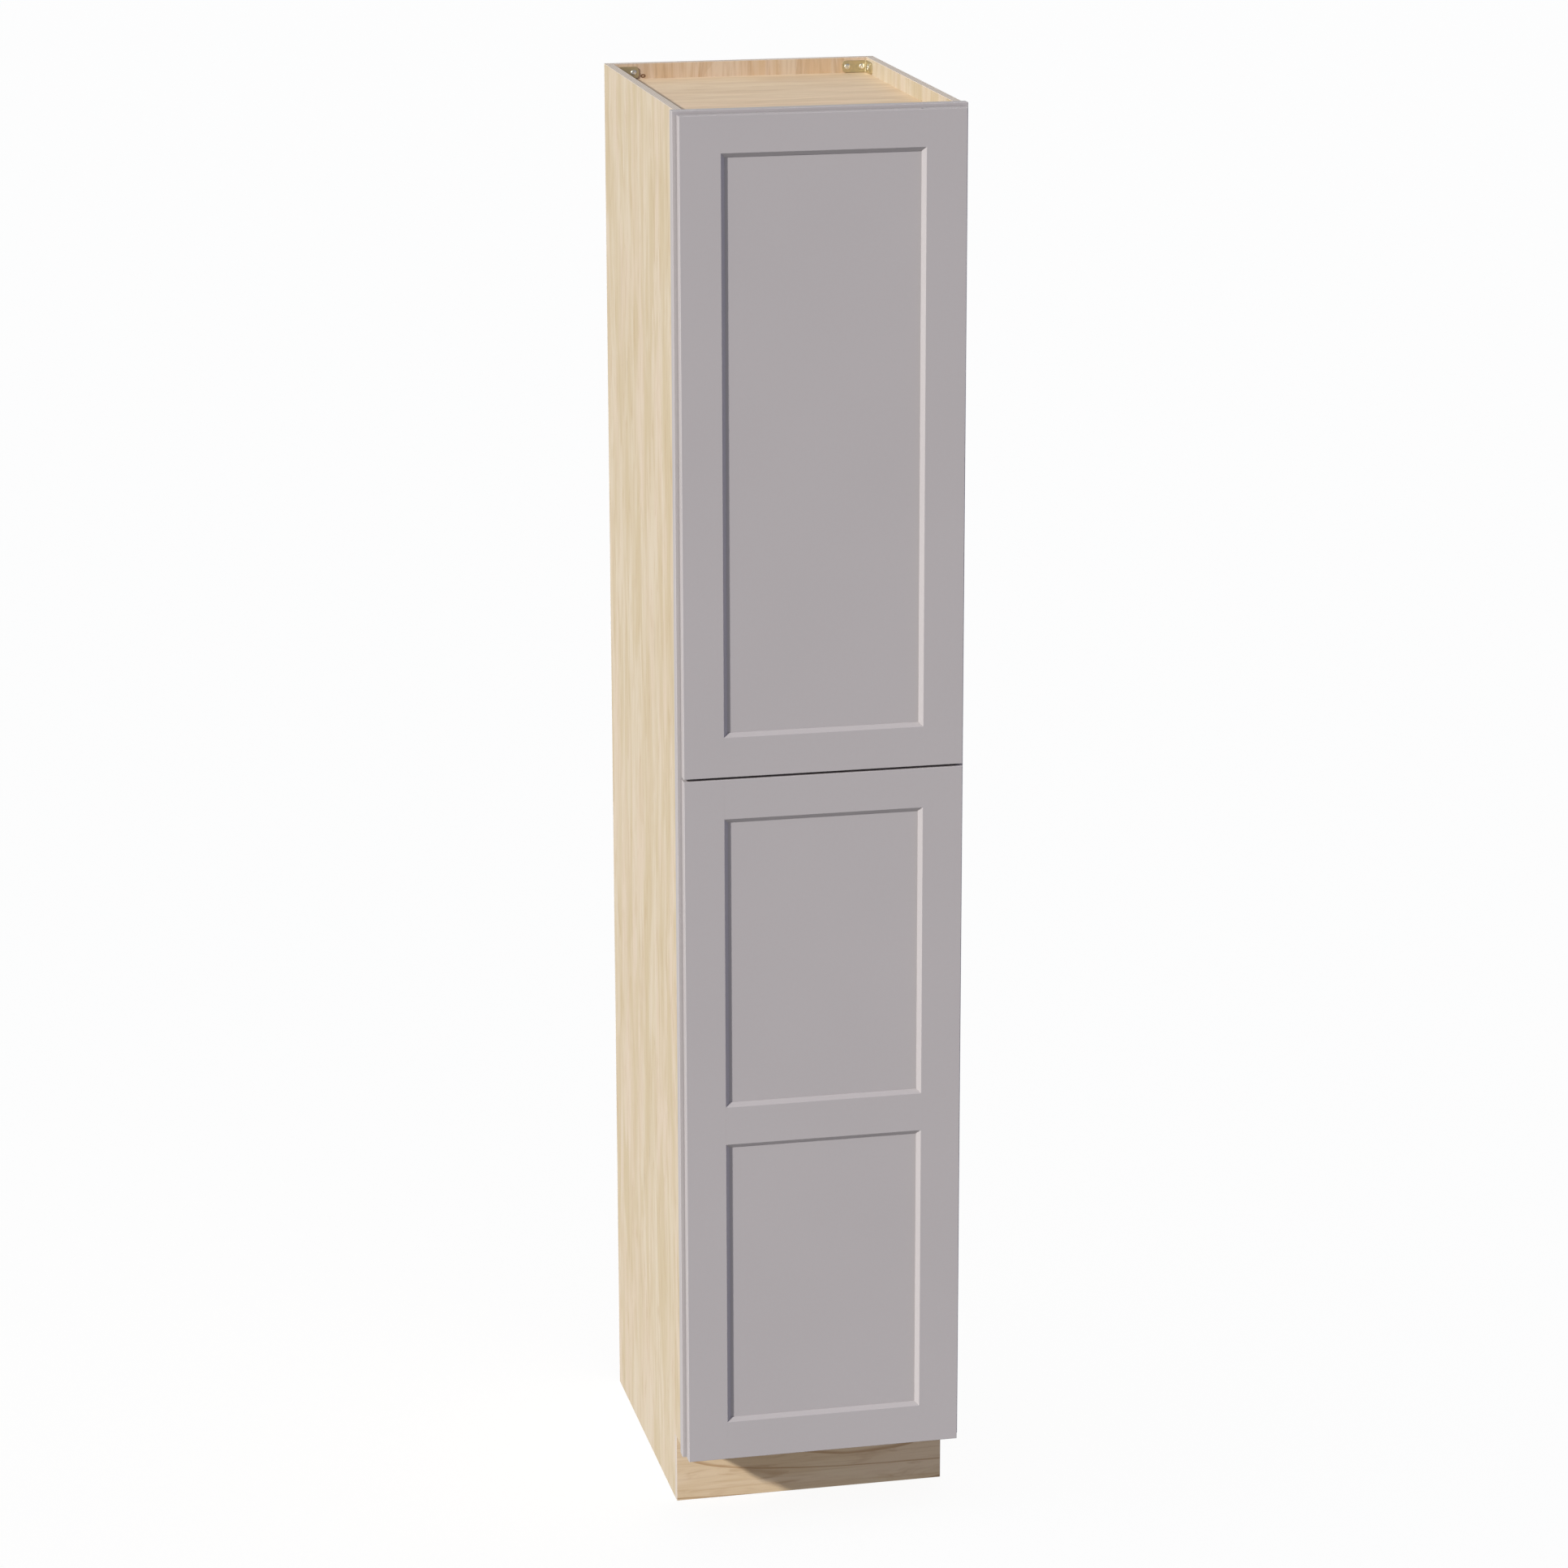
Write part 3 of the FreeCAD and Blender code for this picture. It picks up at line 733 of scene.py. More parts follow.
class Finishes:
    """Every finish of the cabinet, each made once."""

    def __init__(self) -> None:
        """Makes the finishes that several sub-assemblies share."""
        # Paint: its colour, a lighter one for the worn arrises with their painted highlight, and a darker one
        # for the painted shade in inner corners.
        self.paint = PaintFinish("warm_grey_satin_paint", (0.459, 0.424, 0.421), (0.51, 0.48, 0.475),
                                 (0.37, 0.35, 0.365)).build()
        self.nickel = MetalFinish("nickel_plated_steel", (0.74, 0.73, 0.70), (0.66, 0.65, 0.62), 0.26).build()
        self.zinc = MetalFinish("yellow_zinc_plate", (0.68, 0.585, 0.37), (0.57, 0.52, 0.345), 0.44).build()
        self.screw = MetalFinish("zinc_screw_steel", (0.86, 0.84, 0.76), (0.78, 0.76, 0.68), 0.36).build()
        self.bumper = SoftFinish("clear_soft_plastic", (0.80, 0.82, 0.82)).build()


# ------------------------------ sub-assemblies

@dataclass
class FaceFrame:
    """Painted hardwood frame on the front of the case."""

    finishes: Finishes
    outer: float = 0.8 * MM             # round on the edges that stay free
    inner: float = 0.3 * MM             # round on the edges round the openings
    drawn_in: float = 0.98

    def build(self) -> None:
        """Makes the stiles and the rails."""
        left, right = (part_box("frame_stile_" + side) for side in ("left", "right"))
        self._stile("frame_stile_left", (self.outer, self.inner))
        self._stile("frame_stile_right", (self.inner, self.outer))
        ends = np.array([left[1].x, right[0].x])
        self._rail("frame_rail_top", ends, (self.inner, self.outer))
        self._rail("frame_rail_middle", ends, (self.inner, self.inner))
        self._rail("frame_rail_bottom", ends, (self.outer, self.inner))

    def _stile(self, node: str, rounds: tuple[float, float]) -> None:
        """Makes a stile, which is as high as the case.

        Its ends are drawn in a little less than its smaller round, so that no corner closes up.

        Args:
            node: its node in the frame.
            rounds: radii of its left and right edges.
        """
        low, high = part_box(node)
        corners = rectangle((low, high), Axis.X, Axis.Y)
        outline = rounded_outline(corners, (rounds[0], rounds[1], rounds[1], rounds[0]))
        stations, insets, edge = eased_ends(low.z, high.z, self.outer)
        insets = np.minimum(insets / self.outer, self.drawn_in) * min(rounds)
        rings = carried(outline, stations, insets, (Axis.X, Axis.Y, Axis.Z))
        self._finish(node, Patch.through(rings, np.maximum(outline.arris[None], edge[:, None])))

    def _rail(self, node: str, ends: np.ndarray, rounds: tuple[float, float]) -> None:
        """Makes a rail with square ends.

        Args:
            node: its node in the frame.
            ends: where its face meets the stiles.
            rounds: radii of its lower and upper edges.
        """
        corners = rectangle(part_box(node), Axis.Y, Axis.Z)
        outline = rounded_outline(corners, (rounds[0], rounds[0], rounds[1], rounds[1]))
        rings = carried(outline, ends, np.zeros(2), (Axis.Y, Axis.Z, Axis.X))
        self._finish(node, Patch.through(rings, outline.arris))

    def _finish(self, node: str, patch: Patch) -> None:
        """Paints one member."""
        finish_piece(patch.object(node + "_painted"), "case", self.finishes.paint, Slot.PAINT, node)


@dataclass
class Door:
    """Recessed-panel door: stiles over the whole height, rails coped between them, floating panels."""

    name: str
    rails: tuple[str, ...]
    panels: tuple[str, ...]
    finishes: Finishes
    bevel_width: float = 6.5 * MM
    bevel_depth: float = 5.6 * MM
    groove: float = 9.5 * MM
    easing: float = 0.8 * MM
    tongue_play: float = 0.1 * MM       # free space at the tip of a tongue
    tongue_drop: float = 0.04 * MM      # how far a tongue lies below the edge of its rail
    low: Vector = field(init=False)
    high: Vector = field(init=False)
    foot: float = field(init=False)     # a stile's outer edge to the foot of its bevel
    recess: float = field(init=False)
    panel_thick: float = field(init=False)

    def __post_init__(self) -> None:
        """Reads the door's box and its panel's depth from the frame."""
        left, right = (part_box("%s_stile_%s" % (self.name, side)) for side in ("left", "right"))
        self.low, self.high = left[0], right[1]
        self.foot = left[1].x - left[0].x
        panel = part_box("%s_%s" % (self.name, self.panels[0]))
        self.recess = panel[0].y - self.low.y
        self.panel_thick = panel[1].y - panel[0].y

    def _section(self, face: float) -> tuple[list[tuple[float, float]], list[float]]:
        """Section of a stile or end rail.

        Args:
            face: width of its flat face.

        Returns:
            Corners as (distance from the outer edge, depth behind the face), and their radii.
        """
        foot = face + self.bevel_width
        rear = self.recess + self.panel_thick
        thick = self.high.y - self.low.y
        corners = [(0, 0), (face, 0), (foot, self.bevel_depth), (foot, self.recess),
                   (foot - self.groove, self.recess), (foot - self.groove, rear), (foot, rear),
                   (foot, thick), (0, thick)]
        rounds = (0.55, 0.2, 0.15, 0.1, 0.1, 0.2, 0.8, 0.8)
        return corners, [self.easing] + [radius * MM for radius in rounds]

    def _stile(self, side: str) -> Patch:
        """Makes a stile: its section carried up the door, with the front easing turned over both ends.

        Args:
            side: "left" or "right".

        Returns:
            The stile.
        """
        corners, radii = self._section(self.foot - self.bevel_width)
        edge, sign = (self.low.x, 1) if side == "left" else (self.high.x, -1)
        corners = [(edge + sign * across, self.low.y + depth) for across, depth in corners]
        outline = rounded_outline(corners, radii)
        stations, drop, turn = eased_ends(self.low.z, self.high.z, self.easing)
        rings = carried(outline, stations, np.zeros_like(stations), (Axis.X, Axis.Y, Axis.Z))
        front = rings[..., Axis.Y] < self.low.y + drop[:, None]
        rings[..., Axis.Y] = np.maximum(rings[..., Axis.Y], self.low.y + drop[:, None])
        return Patch.through(rings, np.maximum(outline.arris[None], turn[:, None] * front))

    def _coped(self, outline: Outline) -> Patch:
        """Makes a bar across the door whose ends follow the stiles' bevels.

        At a depth d behind the face a bar reaches bevel_width (1 - d / bevel_depth) further than the
        foot of the bevel, and no further at all behind the bevel.

        Args:
            outline: section of the bar, as (height, depth coordinate).

        Returns:
            The bar.
        """
        points, arris = self._crossed(outline, self.low.y + self.bevel_depth)
        reach = self.bevel_width * np.clip(1 - (points[:, 1] - self.low.y) / self.bevel_depth, 0, 1)
        half = self.high.x - self.foot + reach
        rings = np.empty((2, len(points), 3))
        rings[..., Axis.X] = np.stack([-half, half])
        rings[..., Axis.Y] = points[:, 1]
        rings[..., Axis.Z] = points[:, 0]
        return Patch.through(rings, arris)

    @staticmethod
    def _crossed(outline: Outline, level: float) -> tuple[np.ndarray, np.ndarray]:
        """Adds a point to an outline wherever it crosses a depth.

        Args:
            outline: the outline.
            level: the depth, as its second coordinate.

        Returns:
            Points and arris values.
        """
        rows = np.column_stack([outline.points, outline.arris])
        after = np.roll(rows, -1, 0)
        crossing = np.flatnonzero((rows[:, 1] < level) != (after[:, 1] < level))
        start, end = rows[crossing], after[crossing]
        share = (level - start[:, 1:2]) / (end[:, 1:2] - start[:, 1:2])
        rows = np.insert(rows, crossing + 1, start + share * (end - start), axis=0)
        return rows[:, :2], rows[:, 2]

    def _tongues(self, bottom: float, top: float) -> list[Patch]:
        """Makes the tongues that fill the stiles' grooves beside a rail.

        Args:
            bottom: lower end of the rail's solid core.
            top: upper end of it.

        Returns:
            The left tongue and the right one.
        """
        inside = self.high.x - self.foot
        shoulder, tip = inside - MM, inside + self.groove - self.tongue_play
        front, rear = self.low.y + self.recess, self.low.y + self.recess + self.panel_thick
        bottom, top = bottom + self.tongue_drop, top - self.tongue_drop
        return [board(Vector((start, front, bottom)), Vector((end, rear, top)), self.tongue_play)
                for start, end in ((-tip, -shoulder), (shoulder, tip))]

    def _rail(self, level: str) -> Patch:
        """Makes a rail: an end rail has one bevel, and a middle rail has one on each edge.

        Args:
            level: "top", "middle" or "bottom".

        Returns:
            The rail with its tongues.
        """
        low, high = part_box("%s_rail_%s" % (self.name, level))
        bottom = low.z if level == "bottom" else low.z + self.groove
        top = high.z if level == "top" else high.z - self.groove
        if level == "middle":
            middle = (low.z + high.z) / 2
            corners, radii = self._section((high.z - low.z) / 2 - self.bevel_width)
            upper = [(middle + across, depth) for across, depth in corners[1:-1]]
            lower = [(middle - across, depth) for across, depth in reversed(corners[1:-1])]
            sharp, rounds = upper + lower, radii[1:-1] + radii[1:-1][::-1]
        else:
            corners, rounds = self._section(high.z - low.z - self.bevel_width)
            edge, sign = (high.z, -1) if level == "top" else (low.z, 1)
            sharp = [(edge + sign * across, depth) for across, depth in corners]
        bar = self._coped(rounded_outline([(z, self.low.y + depth) for z, depth in sharp], rounds))
        return Patch.joined([bar] + self._tongues(bottom, top))

    def build(self) -> None:
        """Makes the members, the panels and the bumpers."""
        parts = {"stile_" + side: self._stile(side) for side in ("left", "right")}
        parts.update({"rail_" + level: self._rail(level) for level in self.rails})
        parts.update({panel: board(*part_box("%s_%s" % (self.name, panel)), 0.3 * MM) for panel in self.panels})
        for part, patch in parts.items():
            node = "%s_%s" % (self.name, part)
            finish_piece(patch.object(node + "_painted"), self.name, self.finishes.paint, Slot.PAINT, node)
        self._bumpers()

    def _bumpers(self) -> None:
        """Two clear bumpers: a short cone under a low dome, r = r0 sqrt(1 - s^2) at the top."""
        node = self.name + "_bumpers"
        low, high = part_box(node)
        radius, tall = (high.x - low.x) / 2, high.y - low.y
        dome = np.linspace(0, 1, 9)
        radii = np.concatenate([[0, radius], radius * (0.94 * np.sqrt(1 - dome ** 2))])
        heights = np.concatenate([[0, 0], tall * (0.45 + 0.55 * dome)])
        patch = Patch.through(turned_rings(radii, heights, 40))
        to_back = Matrix.Rotation(-pi / 2, 4, "X")
        places = [Vector(((low.x + high.x) / 2, low.y, z)) for z in (low.z + radius, high.z - radius)]
        both = Patch.joined([patch.moved(Matrix.Translation(place) @ to_back) for place in places])
        piece = both.object(self.name + "_clear_bumpers")
        finish_piece(piece, self.name, self.finishes.bumper, Slot.BUMPER, node)


@dataclass
class Screws:
    """Screws with a cross recess, each built about +Z and then turned to its place.

    The seat is at height zero. A countersunk head has a cone below it, and a pan head a rim above it.
    """

    head: float = 3.5 * MM
    shank: float = 1.75 * MM
    cone: float = 2.0 * MM
    rim: float = 0.0
    length: float = 10.0 * MM
    dome: float = 0.35 * MM
    arm: float = 2.3 * MM               # length of each arm of the recess
    slot: float = 0.50 * MM             # half-width of the arms
    depth: float = 1.5 * MM
    segments: int = 64

    def patch(self) -> Patch:
        """One screw with its seat at the origin and its shank along -Z.

        The head is a dome, rim + dome (1 - (r / head)^2). The recess lowers it by depth (1 - r / arm)
        where the point lies within slot of either of two crossed lines, with a short slope at its walls.
        """
        inner = np.linspace(0, self.head * 0.97, 22)
        lower = np.array([self.head, self.head, self.shank, self.shank, 0.0])
        edge = 0.0 if self.rim else -0.25 * MM
        falls = np.array([self.rim - 0.10 * MM, edge, -self.cone, self.shank - self.length, -self.length])
        radii = np.concatenate([inner, lower])
        heights = np.concatenate([self.rim + self.dome * (1 - (inner / self.head) ** 2), falls])
        rings = turned_rings(radii, heights, self.segments)
        top = rings[:len(inner)]
        aside = np.minimum(np.abs(top[..., 0]), np.abs(top[..., 1]))
        away = np.maximum(np.abs(top[..., 0]), np.abs(top[..., 1]))
        wall = np.clip((self.slot + 0.12 * MM - aside) / (0.16 * MM), 0, 1)
        top[..., 2] -= self.depth * wall * np.clip(1 - away / self.arm, 0, 1) ** 0.7
        return Patch.through(rings)

    def placed(self, seats: Sequence[tuple[Vector, Vector, float]]) -> Patch:
        """Screws at several seats.

        Args:
            seats: middle of the seat, outward direction, and turn of the recess in degrees.

        Returns:
            All of them as one patch.
        """
        one = self.patch()
        turned = []
        for seat, outward, turn in seats:
            aim = outward.to_track_quat("Z", "Y").to_matrix().to_4x4()
            turned.append(one.moved(Matrix.Translation(seat) @ aim @ Matrix.Rotation(radians(turn), 4, "Z")))
        return Patch.joined(turned)


@dataclass
class CornerBrackets:
    """Two bent steel brackets on top, where the sides meet the back, with three screws each."""

    finishes: Finishes
    leg: float = 41.0 * MM
    thick: float = 2.0 * MM
    corner: float = 6.0 * MM            # radius of the rounded ends
    bend: float = 2.6 * MM              # radius of the bend along the middle of the strip
    screw_places: tuple[float, ...] = (8.3 * MM, 33.0 * MM)
    side_screw: float = 19.0 * MM
    turns: tuple[float, ...] = (20, 62, 38)     # of the screws' recesses, in degrees

    @property
    def straight(self) -> float:
        """Straight part of each leg, along the middle of the strip."""
        return self.leg - self.thick / 2 - self.bend

    def _path(self, stations: np.ndarray) -> tuple[np.ndarray, np.ndarray]:
        """Middle line of the strip: straight, a quarter circle, then straight.

        Args:
            stations: distances from the free end of the leg on the back.

        Returns:
            Places, and unit normals towards the inside of the corner, as (M, 2) rows in a plane where
            the corner is at the origin, the back along +X and the side along -Y.
        """
        angle = np.clip((stations - self.straight) / self.bend, 0, pi / 2)
        before = np.minimum(stations, self.straight)
        after = np.maximum(stations - self.straight - self.bend * pi / 2, 0)
        x = self.leg - before - self.bend * np.sin(angle)
        y = -self.thick / 2 - self.bend * (1 - np.cos(angle)) - after
        inside = np.stack([np.sin(angle), -np.cos(angle)], -1)
        return np.stack([x, y], -1), inside

    def _patch(self, low: Vector, high: Vector, side: int) -> Patch:
        """Makes a strip of rounded section along its bent path, narrowing in a quarter circle at its ends.

        Args:
            low: low corner of the bracket's box.
            high: high corner of it.
            side: -1 for the left bracket, 1 for the right one.

        Returns:
            The bracket.
        """
        total = 2 * self.straight + self.bend * pi / 2
        quarter = np.linspace(0, pi / 2, 9)
        round_off = self.corner * (1 - np.cos(quarter))
        arc = self.straight + self.bend * quarter
        stations = np.concatenate([round_off, arc, total - round_off[::-1]])
        from_end = np.minimum(np.minimum(stations, total - stations), self.corner)
        narrow = self.corner - np.sqrt(self.corner ** 2 - (self.corner - from_end) ** 2)
        half_high = (high.z - low.z) / 2 - narrow
        section = rounded_outline([(-1, -1), (1, -1), (1, 1), (-1, 1)], 0.28, 3)
        middle, inside = self._path(stations)
        across = section.points[:, 0] * self.thick / 2
        edge = self.thick / 2
        upward = section.points[:, 1]
        rings = np.empty((len(stations), len(across), 3))
        rings[..., 0] = side * -1 * (middle[:, None, 0] + across * inside[:, None, 0])
        rings[..., 1] = middle[:, None, 1] + across * inside[:, None, 1]
        rings[..., 2] = np.sign(upward) * (half_high[:, None] - edge + edge * np.abs(upward))
        corner = Vector((high.x if side > 0 else low.x, high.y, (low.z + high.z) / 2))
        return Patch.through(rings + np.array(corner))

    def build(self) -> None:
        """Makes both brackets and their screws."""
        seats = []
        for side, word in ((-1, "left"), (1, "right")):
            node = "corner_bracket_" + word
            low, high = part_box(node)
            piece = self._patch(low, high, side).object(node + "_plated")
            finish_piece(piece, "case", self.finishes.zinc, Slot.ZINC, node)
            level = (low.z + high.z) / 2
            tip = low.x if side > 0 else high.x
            back = [Vector((tip + side * place, high.y - self.thick, level)) for place in self.screw_places]
            seats += [(seat, Vector((0, -1, 0)), turn) for seat, turn in zip(back, self.turns)]
            face = high.x - self.thick if side > 0 else low.x + self.thick
            beside = Vector((face, high.y - self.side_screw, level))
            seats.append((beside, Vector((-side, 0, 0)), self.turns[-1]))
        screws = Screws(head=4.5 * MM, shank=1.9 * MM, cone=0.0, rim=0.7 * MM, length=12.0 * MM,
                        dome=1.2 * MM, arm=2.9 * MM, slot=0.55 * MM)
        piece = screws.placed(seats).object("corner_bracket_cross_screws")
        finish_piece(piece, "case", self.finishes.screw, Slot.SCREW, "corner_bracket_screws")


@dataclass
class Hinges:
    """Concealed hinges: plated cups, arms and bases, with their screws."""

    finishes: Finishes
    cup_screw_pitch: float = 45.0 * MM
    base_screw_offset: float = 15.0 * MM

    def build(self) -> None:
        """Dresses the hinges and makes their screws."""
        plated = ["hinge_%s_%d" % (part, number) for part in ("cup", "arm", "base") for number in range(1, 7)]
        for name in plated + ["lower_door_hinge_pins", "upper_door_hinge_pins"]:
            dress_node(name, self.finishes.nickel)
        dress_node("hinge_adjusters", self.finishes.screw)
        for door, numbers in (("lower_door", (1, 2, 3)), ("upper_door", (4, 5, 6))):
            node = door + "_cup_screws"
            low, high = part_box(node)
            x, y = (low.x + high.x) / 2, high.y
            seats = []
            for number in numbers:
                middle = self._middle("hinge_cup_%d" % number)
                seats += [(Vector((x, y, middle.z + sign * self.cup_screw_pitch / 2)), Vector((0, 1, 0)),
                           25 * number + 40 * sign) for sign in (-1, 1)]
            piece = Screws(segments=48).placed(seats).object(node + "_cross")
            finish_piece(piece, door, self.finishes.screw, Slot.SCREW, node)
        low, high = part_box("hinge_base_screws")
        seats = [(Vector((low.x, (low.y + high.y) / 2, self._middle("hinge_base_%d" % number).z
                          + sign * self.base_screw_offset)), Vector((-1, 0, 0)), 31 * number - 20 * sign)
                 for number in range(1, 7) for sign in (-1, 1)]
        piece = Screws(head=3.4 * MM, length=15 * MM, dome=0.1 * MM, segments=48).placed(seats)
        finish_piece(piece.object("hinge_base_cross_screws"), "case", self.finishes.screw, Slot.SCREW,
                     "hinge_base_screws")

    @staticmethod
    def _middle(node: str) -> Vector:
        """Middle of a node's box."""
        low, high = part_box(node)
        return (low + high) / 2


@dataclass
class Case:
    """Plywood case with its shelves, pins and toe kick."""

    finishes: Finishes
    round: float = 0.6 * MM
    knot_right: float = -161.0 * MM     # middle of the pin knot
    knot_above: float = 4.5 * MM        # its height above the top panel
    # Tones of one maple, set apart by how bright each panel looks in its place: the sides and the back are
    # darker copies, as painted shade, and the top and bottom panels a lighter one, as painted light.
    maple: Tone = Tone((0.735, 0.640, 0.470), (0.660, 0.530, 0.362), (0.520, 0.360, 0.205))
    left: Tone = Tone((0.640, 0.545, 0.410), (0.555, 0.450, 0.290), (0.47, 0.34, 0.185))
    right: Tone = Tone((0.56, 0.495, 0.39), (0.486, 0.409, 0.276), (0.411, 0.309, 0.176))
    level: Tone = Tone((0.784, 0.620, 0.424), (0.686, 0.517, 0.338), (0.57, 0.395, 0.235))
    back: Tone = Tone((0.635, 0.51, 0.375), (0.582, 0.414, 0.256), (0.44, 0.289, 0.165))
    toe: Tone = Tone((0.745, 0.598, 0.400), (0.670, 0.498, 0.307), (0.430, 0.260, 0.128))

    @staticmethod
    def _plywood(node: str, tone: Tone, grain: Axis, ply: Axis, edges: Sequence[tuple[Axis, int]],
                 **changes: object) -> bpy.types.Material:
        """Makes the veneer of one panel.

        Args:
            node: the panel's node.
            tone: its colours.
            grain: direction of its face grain.
            ply: direction of its thickness.
            edges: box faces where its plies show, as (axis, 0 for the low or 1 for the high one).
            changes: other settings of the finish.

        Returns:
            The material.
        """
        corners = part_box(node)
        planes = tuple((axis, corners[end][axis]) for axis, end in edges)
        seed = sum(map(ord, node))
        shift = (seed % 17 * 0.37, seed % 23 * 0.29, seed % 29 * 0.41)
        finish = VeneerFinish(node + "_maple", grain, tone, shift, ply_axis=ply, cut_planes=planes, **changes)
        return finish.build()

    def build(self) -> None:
        """Dresses the panels and makes the shelves and the toe-kick board."""
        self._dress_panels()
        for node in ("fixed_shelf", "shelf_1", "shelf_2", "shelf_3", "shelf_4"):
            edges = ((Axis.X, 0), (Axis.X, 1), (Axis.Y, 1))
            self._board(node, self._plywood(node, self.maple, Axis.X, Axis.Z, edges))
        node, edges = "toe_kick_board", ((Axis.X, 0), (Axis.X, 1))
        figure = {"arch": 1.0, "rings": 12.0, "late": 0.84, "streak": 0.50, "flecks": 1.0, "fleck_along": 1.8}
        self._board(node, self._plywood(node, self.toe, Axis.X, Axis.Y, edges, **figure))
        dress_node("shelf_pins", self.finishes.nickel)

    def _board(self, node: str, material: bpy.types.Material) -> None:
        """Makes one node again as a board with rounded edges."""
        piece = board(*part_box(node), self.round).object(node + "_maple")
        finish_piece(piece, "case", material, Slot.MAPLE, node)

    def _dress_panels(self) -> None:
        """Gives the case's own solids their veneers."""
        upright = ((Axis.Z, 0), (Axis.Z, 1), (Axis.Y, 0), (Axis.Y, 1))
        knot = (self.knot_right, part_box("back_panel")[0].y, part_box("top_panel")[1].z + self.knot_above)
        for node, tone in (("side_left", self.left), ("side_right", self.right)):
            dress_node(node, self._plywood(node, tone, Axis.Z, Axis.X, upright, arch=0.16))
        dress_node("back_panel", self._plywood("back_panel", self.back, Axis.Z, Axis.Y, upright[:2],
                                               knot=knot, streak=0.6))
        for node in ("top_panel", "bottom_panel"):
            dress_node(node, self._plywood(node, self.level, Axis.X, Axis.Z, upright[2:]))
        dress_node("toe_kick_brace", self._plywood("toe_kick_brace", self.maple, Axis.X, Axis.Y, upright[:1]))


# ------------------------------ studio

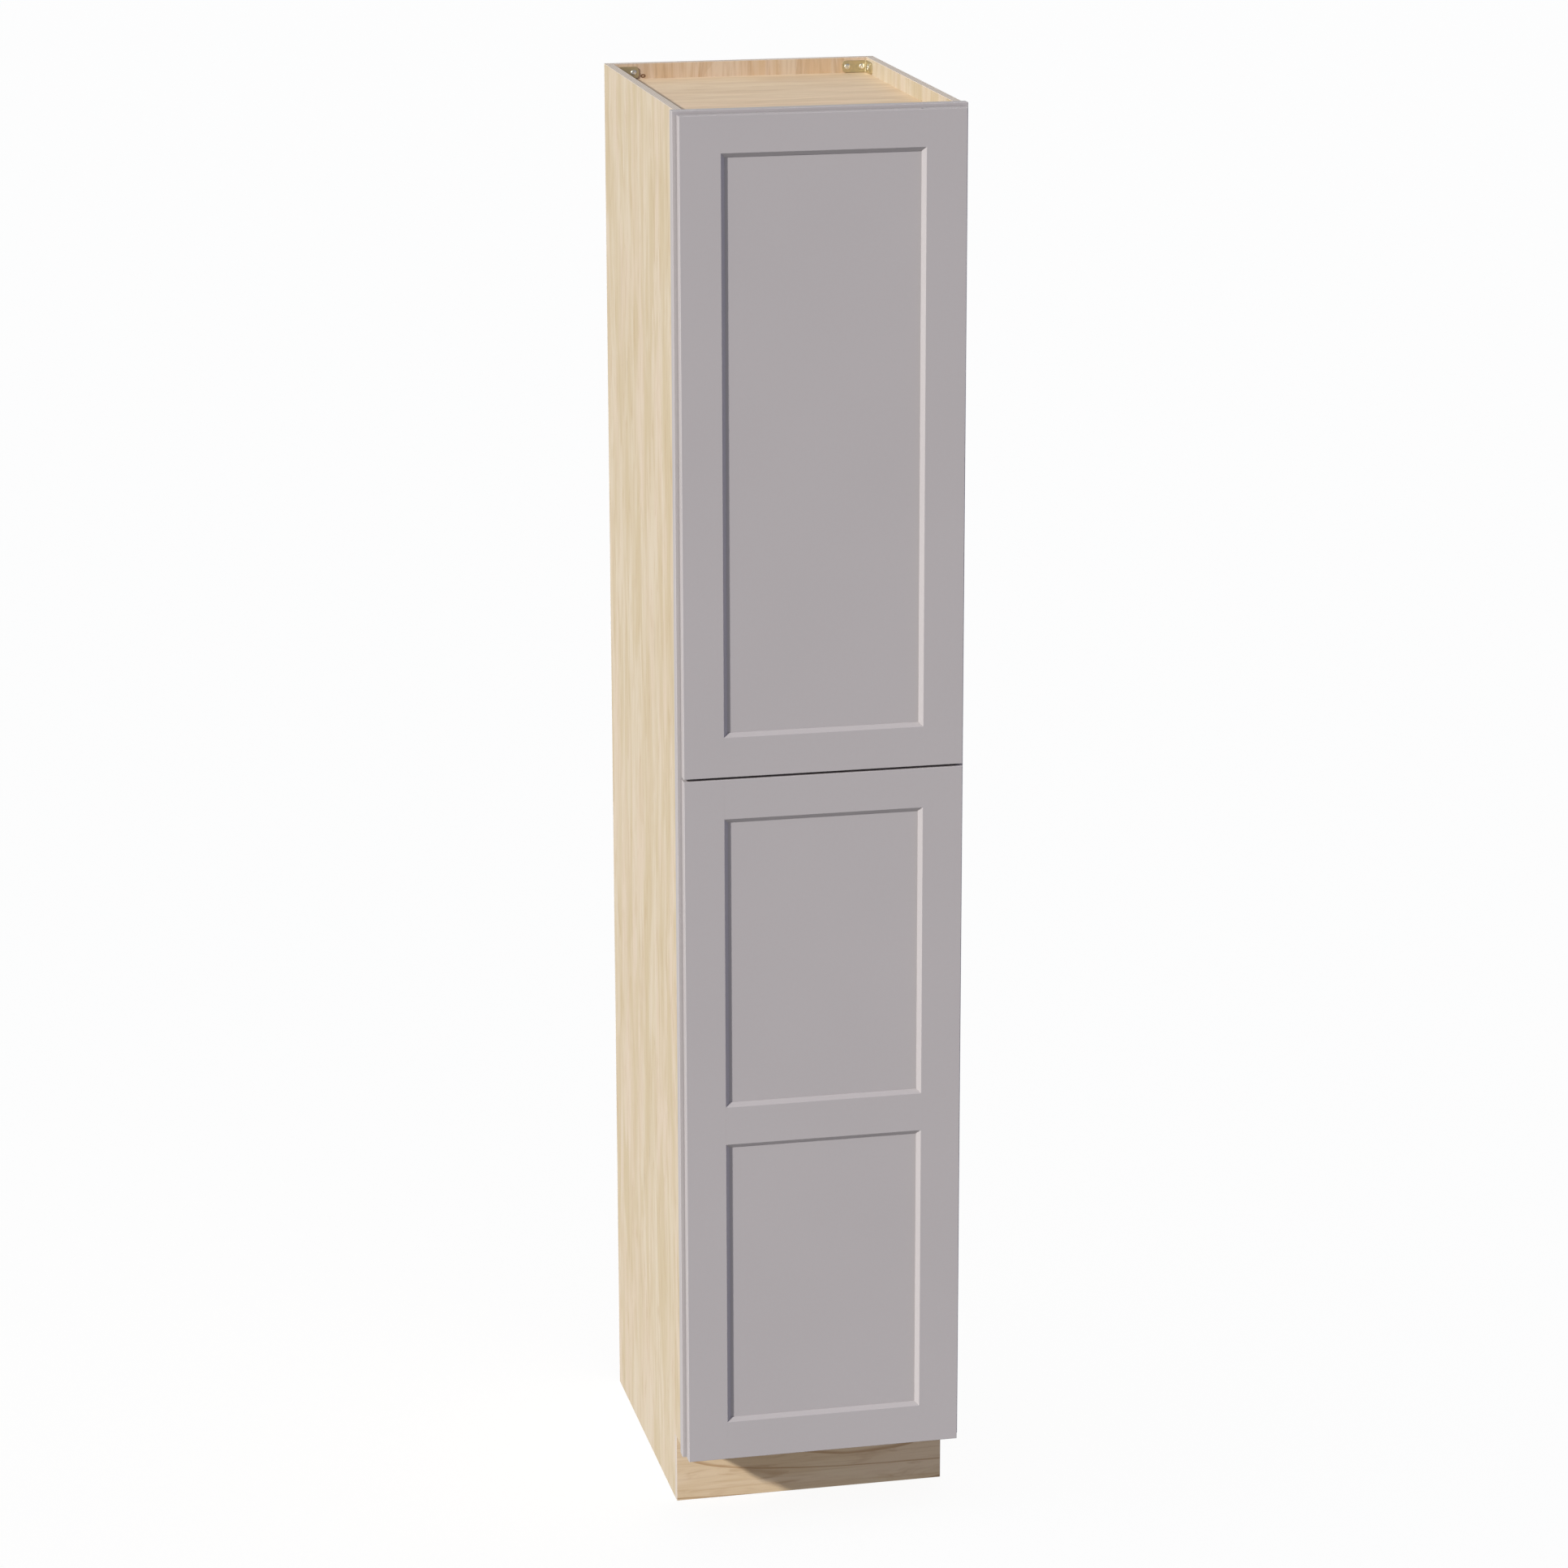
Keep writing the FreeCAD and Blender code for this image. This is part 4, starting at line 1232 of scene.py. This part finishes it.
@dataclass
class Studio:
    """Camera, pale floor and soft light, none of them part of the cabinet."""

    camera_place: tuple[float, float, float] = (-1.5786, -7.2700, 3.2166)
    heading: float = 12.283             # degrees to the right of straight ahead
    tilt: float = -15.521
    roll: float = -0.110
    lens: float = 109.10
    key_from: tuple[float, float, float] = (-0.774, -0.418, 0.475)
    key_power: float = 4.13
    key_spread: float = 3.2
    rim_from: tuple[float, float, float] = (0.45, 0.85, 0.30)
    rim_power: float = 1.1
    rim_spread: float = 40.0
    fill_from: tuple[float, float, float] = (0.90, -0.32, 0.28)
    fill_power: float = 0.33
    fill_spread: float = 50.0
    fill_colour: Colour = (0.12, 0.20, 1.0)
    floor_glow: float = 0.915
    floor_power: float = 0.25
    floor_spread: float = 60.0
    floor_half: float = 120.0
    floor: bpy.types.Object = field(init=False)

    def _camera(self) -> None:
        """Long-lens camera above the height of the cabinet, looking down at it."""
        data = bpy.data.cameras.new("front_camera")
        data.lens = self.lens
        data.sensor_width = 36.0
        data.clip_end = 400.0
        camera = bpy.data.objects.new("front_camera", data)
        heading, tilt = radians(self.heading), radians(self.tilt)
        ahead = Vector((sin(heading) * cos(tilt), cos(heading) * cos(tilt), sin(tilt)))
        aim = ahead.to_track_quat("-Z", "Y").to_matrix().to_4x4()
        roll = Matrix.Rotation(radians(self.roll), 4, "Z")
        camera.matrix_world = Matrix.Translation(self.camera_place) @ aim @ roll
        bpy.context.scene.collection.objects.link(camera)
        bpy.context.scene.camera = camera

    def _sun(self, name: str, towards: Sequence[float], power: float, spread: float,
             colour: Colour = (1.0, 1.0, 1.0), reach: str = "EXCLUDE") -> bpy.types.Object:
        """Adds a distant light.

        Args:
            name: its name.
            towards: direction that it comes from.
            power: strength in watts to the square metre.
            spread: its angle in degrees.
            colour: its colour.
            reach: "INCLUDE" to light the floor alone, "EXCLUDE" for everything but the floor.

        Returns:
            The light.
        """
        data = bpy.data.lights.new(name, "SUN")
        data.energy = power
        data.angle = radians(spread)
        data.color = colour
        light = bpy.data.objects.new(name, data)
        light.rotation_mode = "QUATERNION"
        light.rotation_quaternion = Vector(towards).to_track_quat("Z", "Y")
        bpy.context.scene.collection.objects.link(light)
        group = bpy.data.collections.new(name + "_reach")
        group.objects.link(self.floor)
        group.collection_objects[0].light_linking.link_state = reach
        light.light_linking.receiver_collection = group
        return light

    def _floor(self) -> bpy.types.Object:
        """Wide pale floor."""
        half = self.floor_half
        mesh = bpy.data.meshes.new("studio_floor")
        corners = [(-half, -half, 0), (half, -half, 0), (half, half, 0), (-half, half, 0)]
        mesh.from_pydata(corners, [], [(0, 1, 2, 3)])
        mesh.materials.append(FloorFinish("pale_floor", (0.20, 0.20, 0.20), self.floor_glow).build())
        floor = bpy.data.objects.new("studio_floor", mesh)
        bpy.context.scene.collection.objects.link(floor)
        floor.visible_diffuse = False
        floor.visible_glossy = False
        return floor

    @staticmethod
    def _sky() -> None:
        """Soft surrounding light, brighter from below the horizon; the camera sees it as plain pale grey."""
        world = bpy.data.worlds.new("soft_surround")
        bpy.context.scene.world = world
        book = NodeBook(world)
        place = book.node("TexCoord").outputs["Generated"]
        height = book.node("SeparateXYZ", None, {0: place}).outputs[2]
        share = book.node("MapRange", None, {"Value": height, "From Min": -0.5, "From Max": 0.5}).outputs[0]
        stops = [(0.0, (0.46, 0.46, 0.47)), (1.0, (0.22, 0.225, 0.235))]
        tone = book.node("ValToRGB", {"stops": stops}, {0: share}).outputs[0]
        around = book.node("Background", None, {"Color": tone}).outputs[0]
        seen = book.node("Background", None, {"Color": (0.98, 0.98, 0.98, 1.0)}).outputs[0]
        camera_ray = book.node("LightPath").outputs["Is Camera Ray"]
        chosen = book.node("MixShader", None, {0: camera_ray, 1: around, 2: seen}).outputs[0]
        book.node("OutputWorld", None, {0: chosen})

    def build(self) -> None:
        """Sets up the studio."""
        scene = bpy.context.scene
        scene.view_settings.view_transform = "Standard"
        self._camera()
        self.floor = self._floor()
        self._sky()
        self._sun("key_light", self.key_from, self.key_power, self.key_spread, (1.0, 0.995, 0.985))
        rim = self._sun("rim_light", self.rim_from, self.rim_power, self.rim_spread)
        rim.visible_glossy = False
        self._sun("cool_fill", self.fill_from, self.fill_power, self.fill_spread, self.fill_colour)
        self._sun("floor_wash", (0, 0, 1), self.floor_power, self.floor_spread, reach="INCLUDE")


def main() -> None:
    """Builds the cabinet's looks and the studio around them."""
    logging.basicConfig(level=logging.INFO, format="%(name)s %(message)s", stream=sys.stdout)
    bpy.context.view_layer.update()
    Studio().build()
    finishes = Finishes()
    Case(finishes).build()
    FaceFrame(finishes).build()
    Door("lower_door", ("top", "middle", "bottom"), ("panel_top", "panel_bottom"), finishes).build()
    Door("upper_door", ("top", "bottom"), ("panel",), finishes).build()
    CornerBrackets(finishes).build()
    Hinges(finishes).build()


if __name__ == "__main__":
    main()
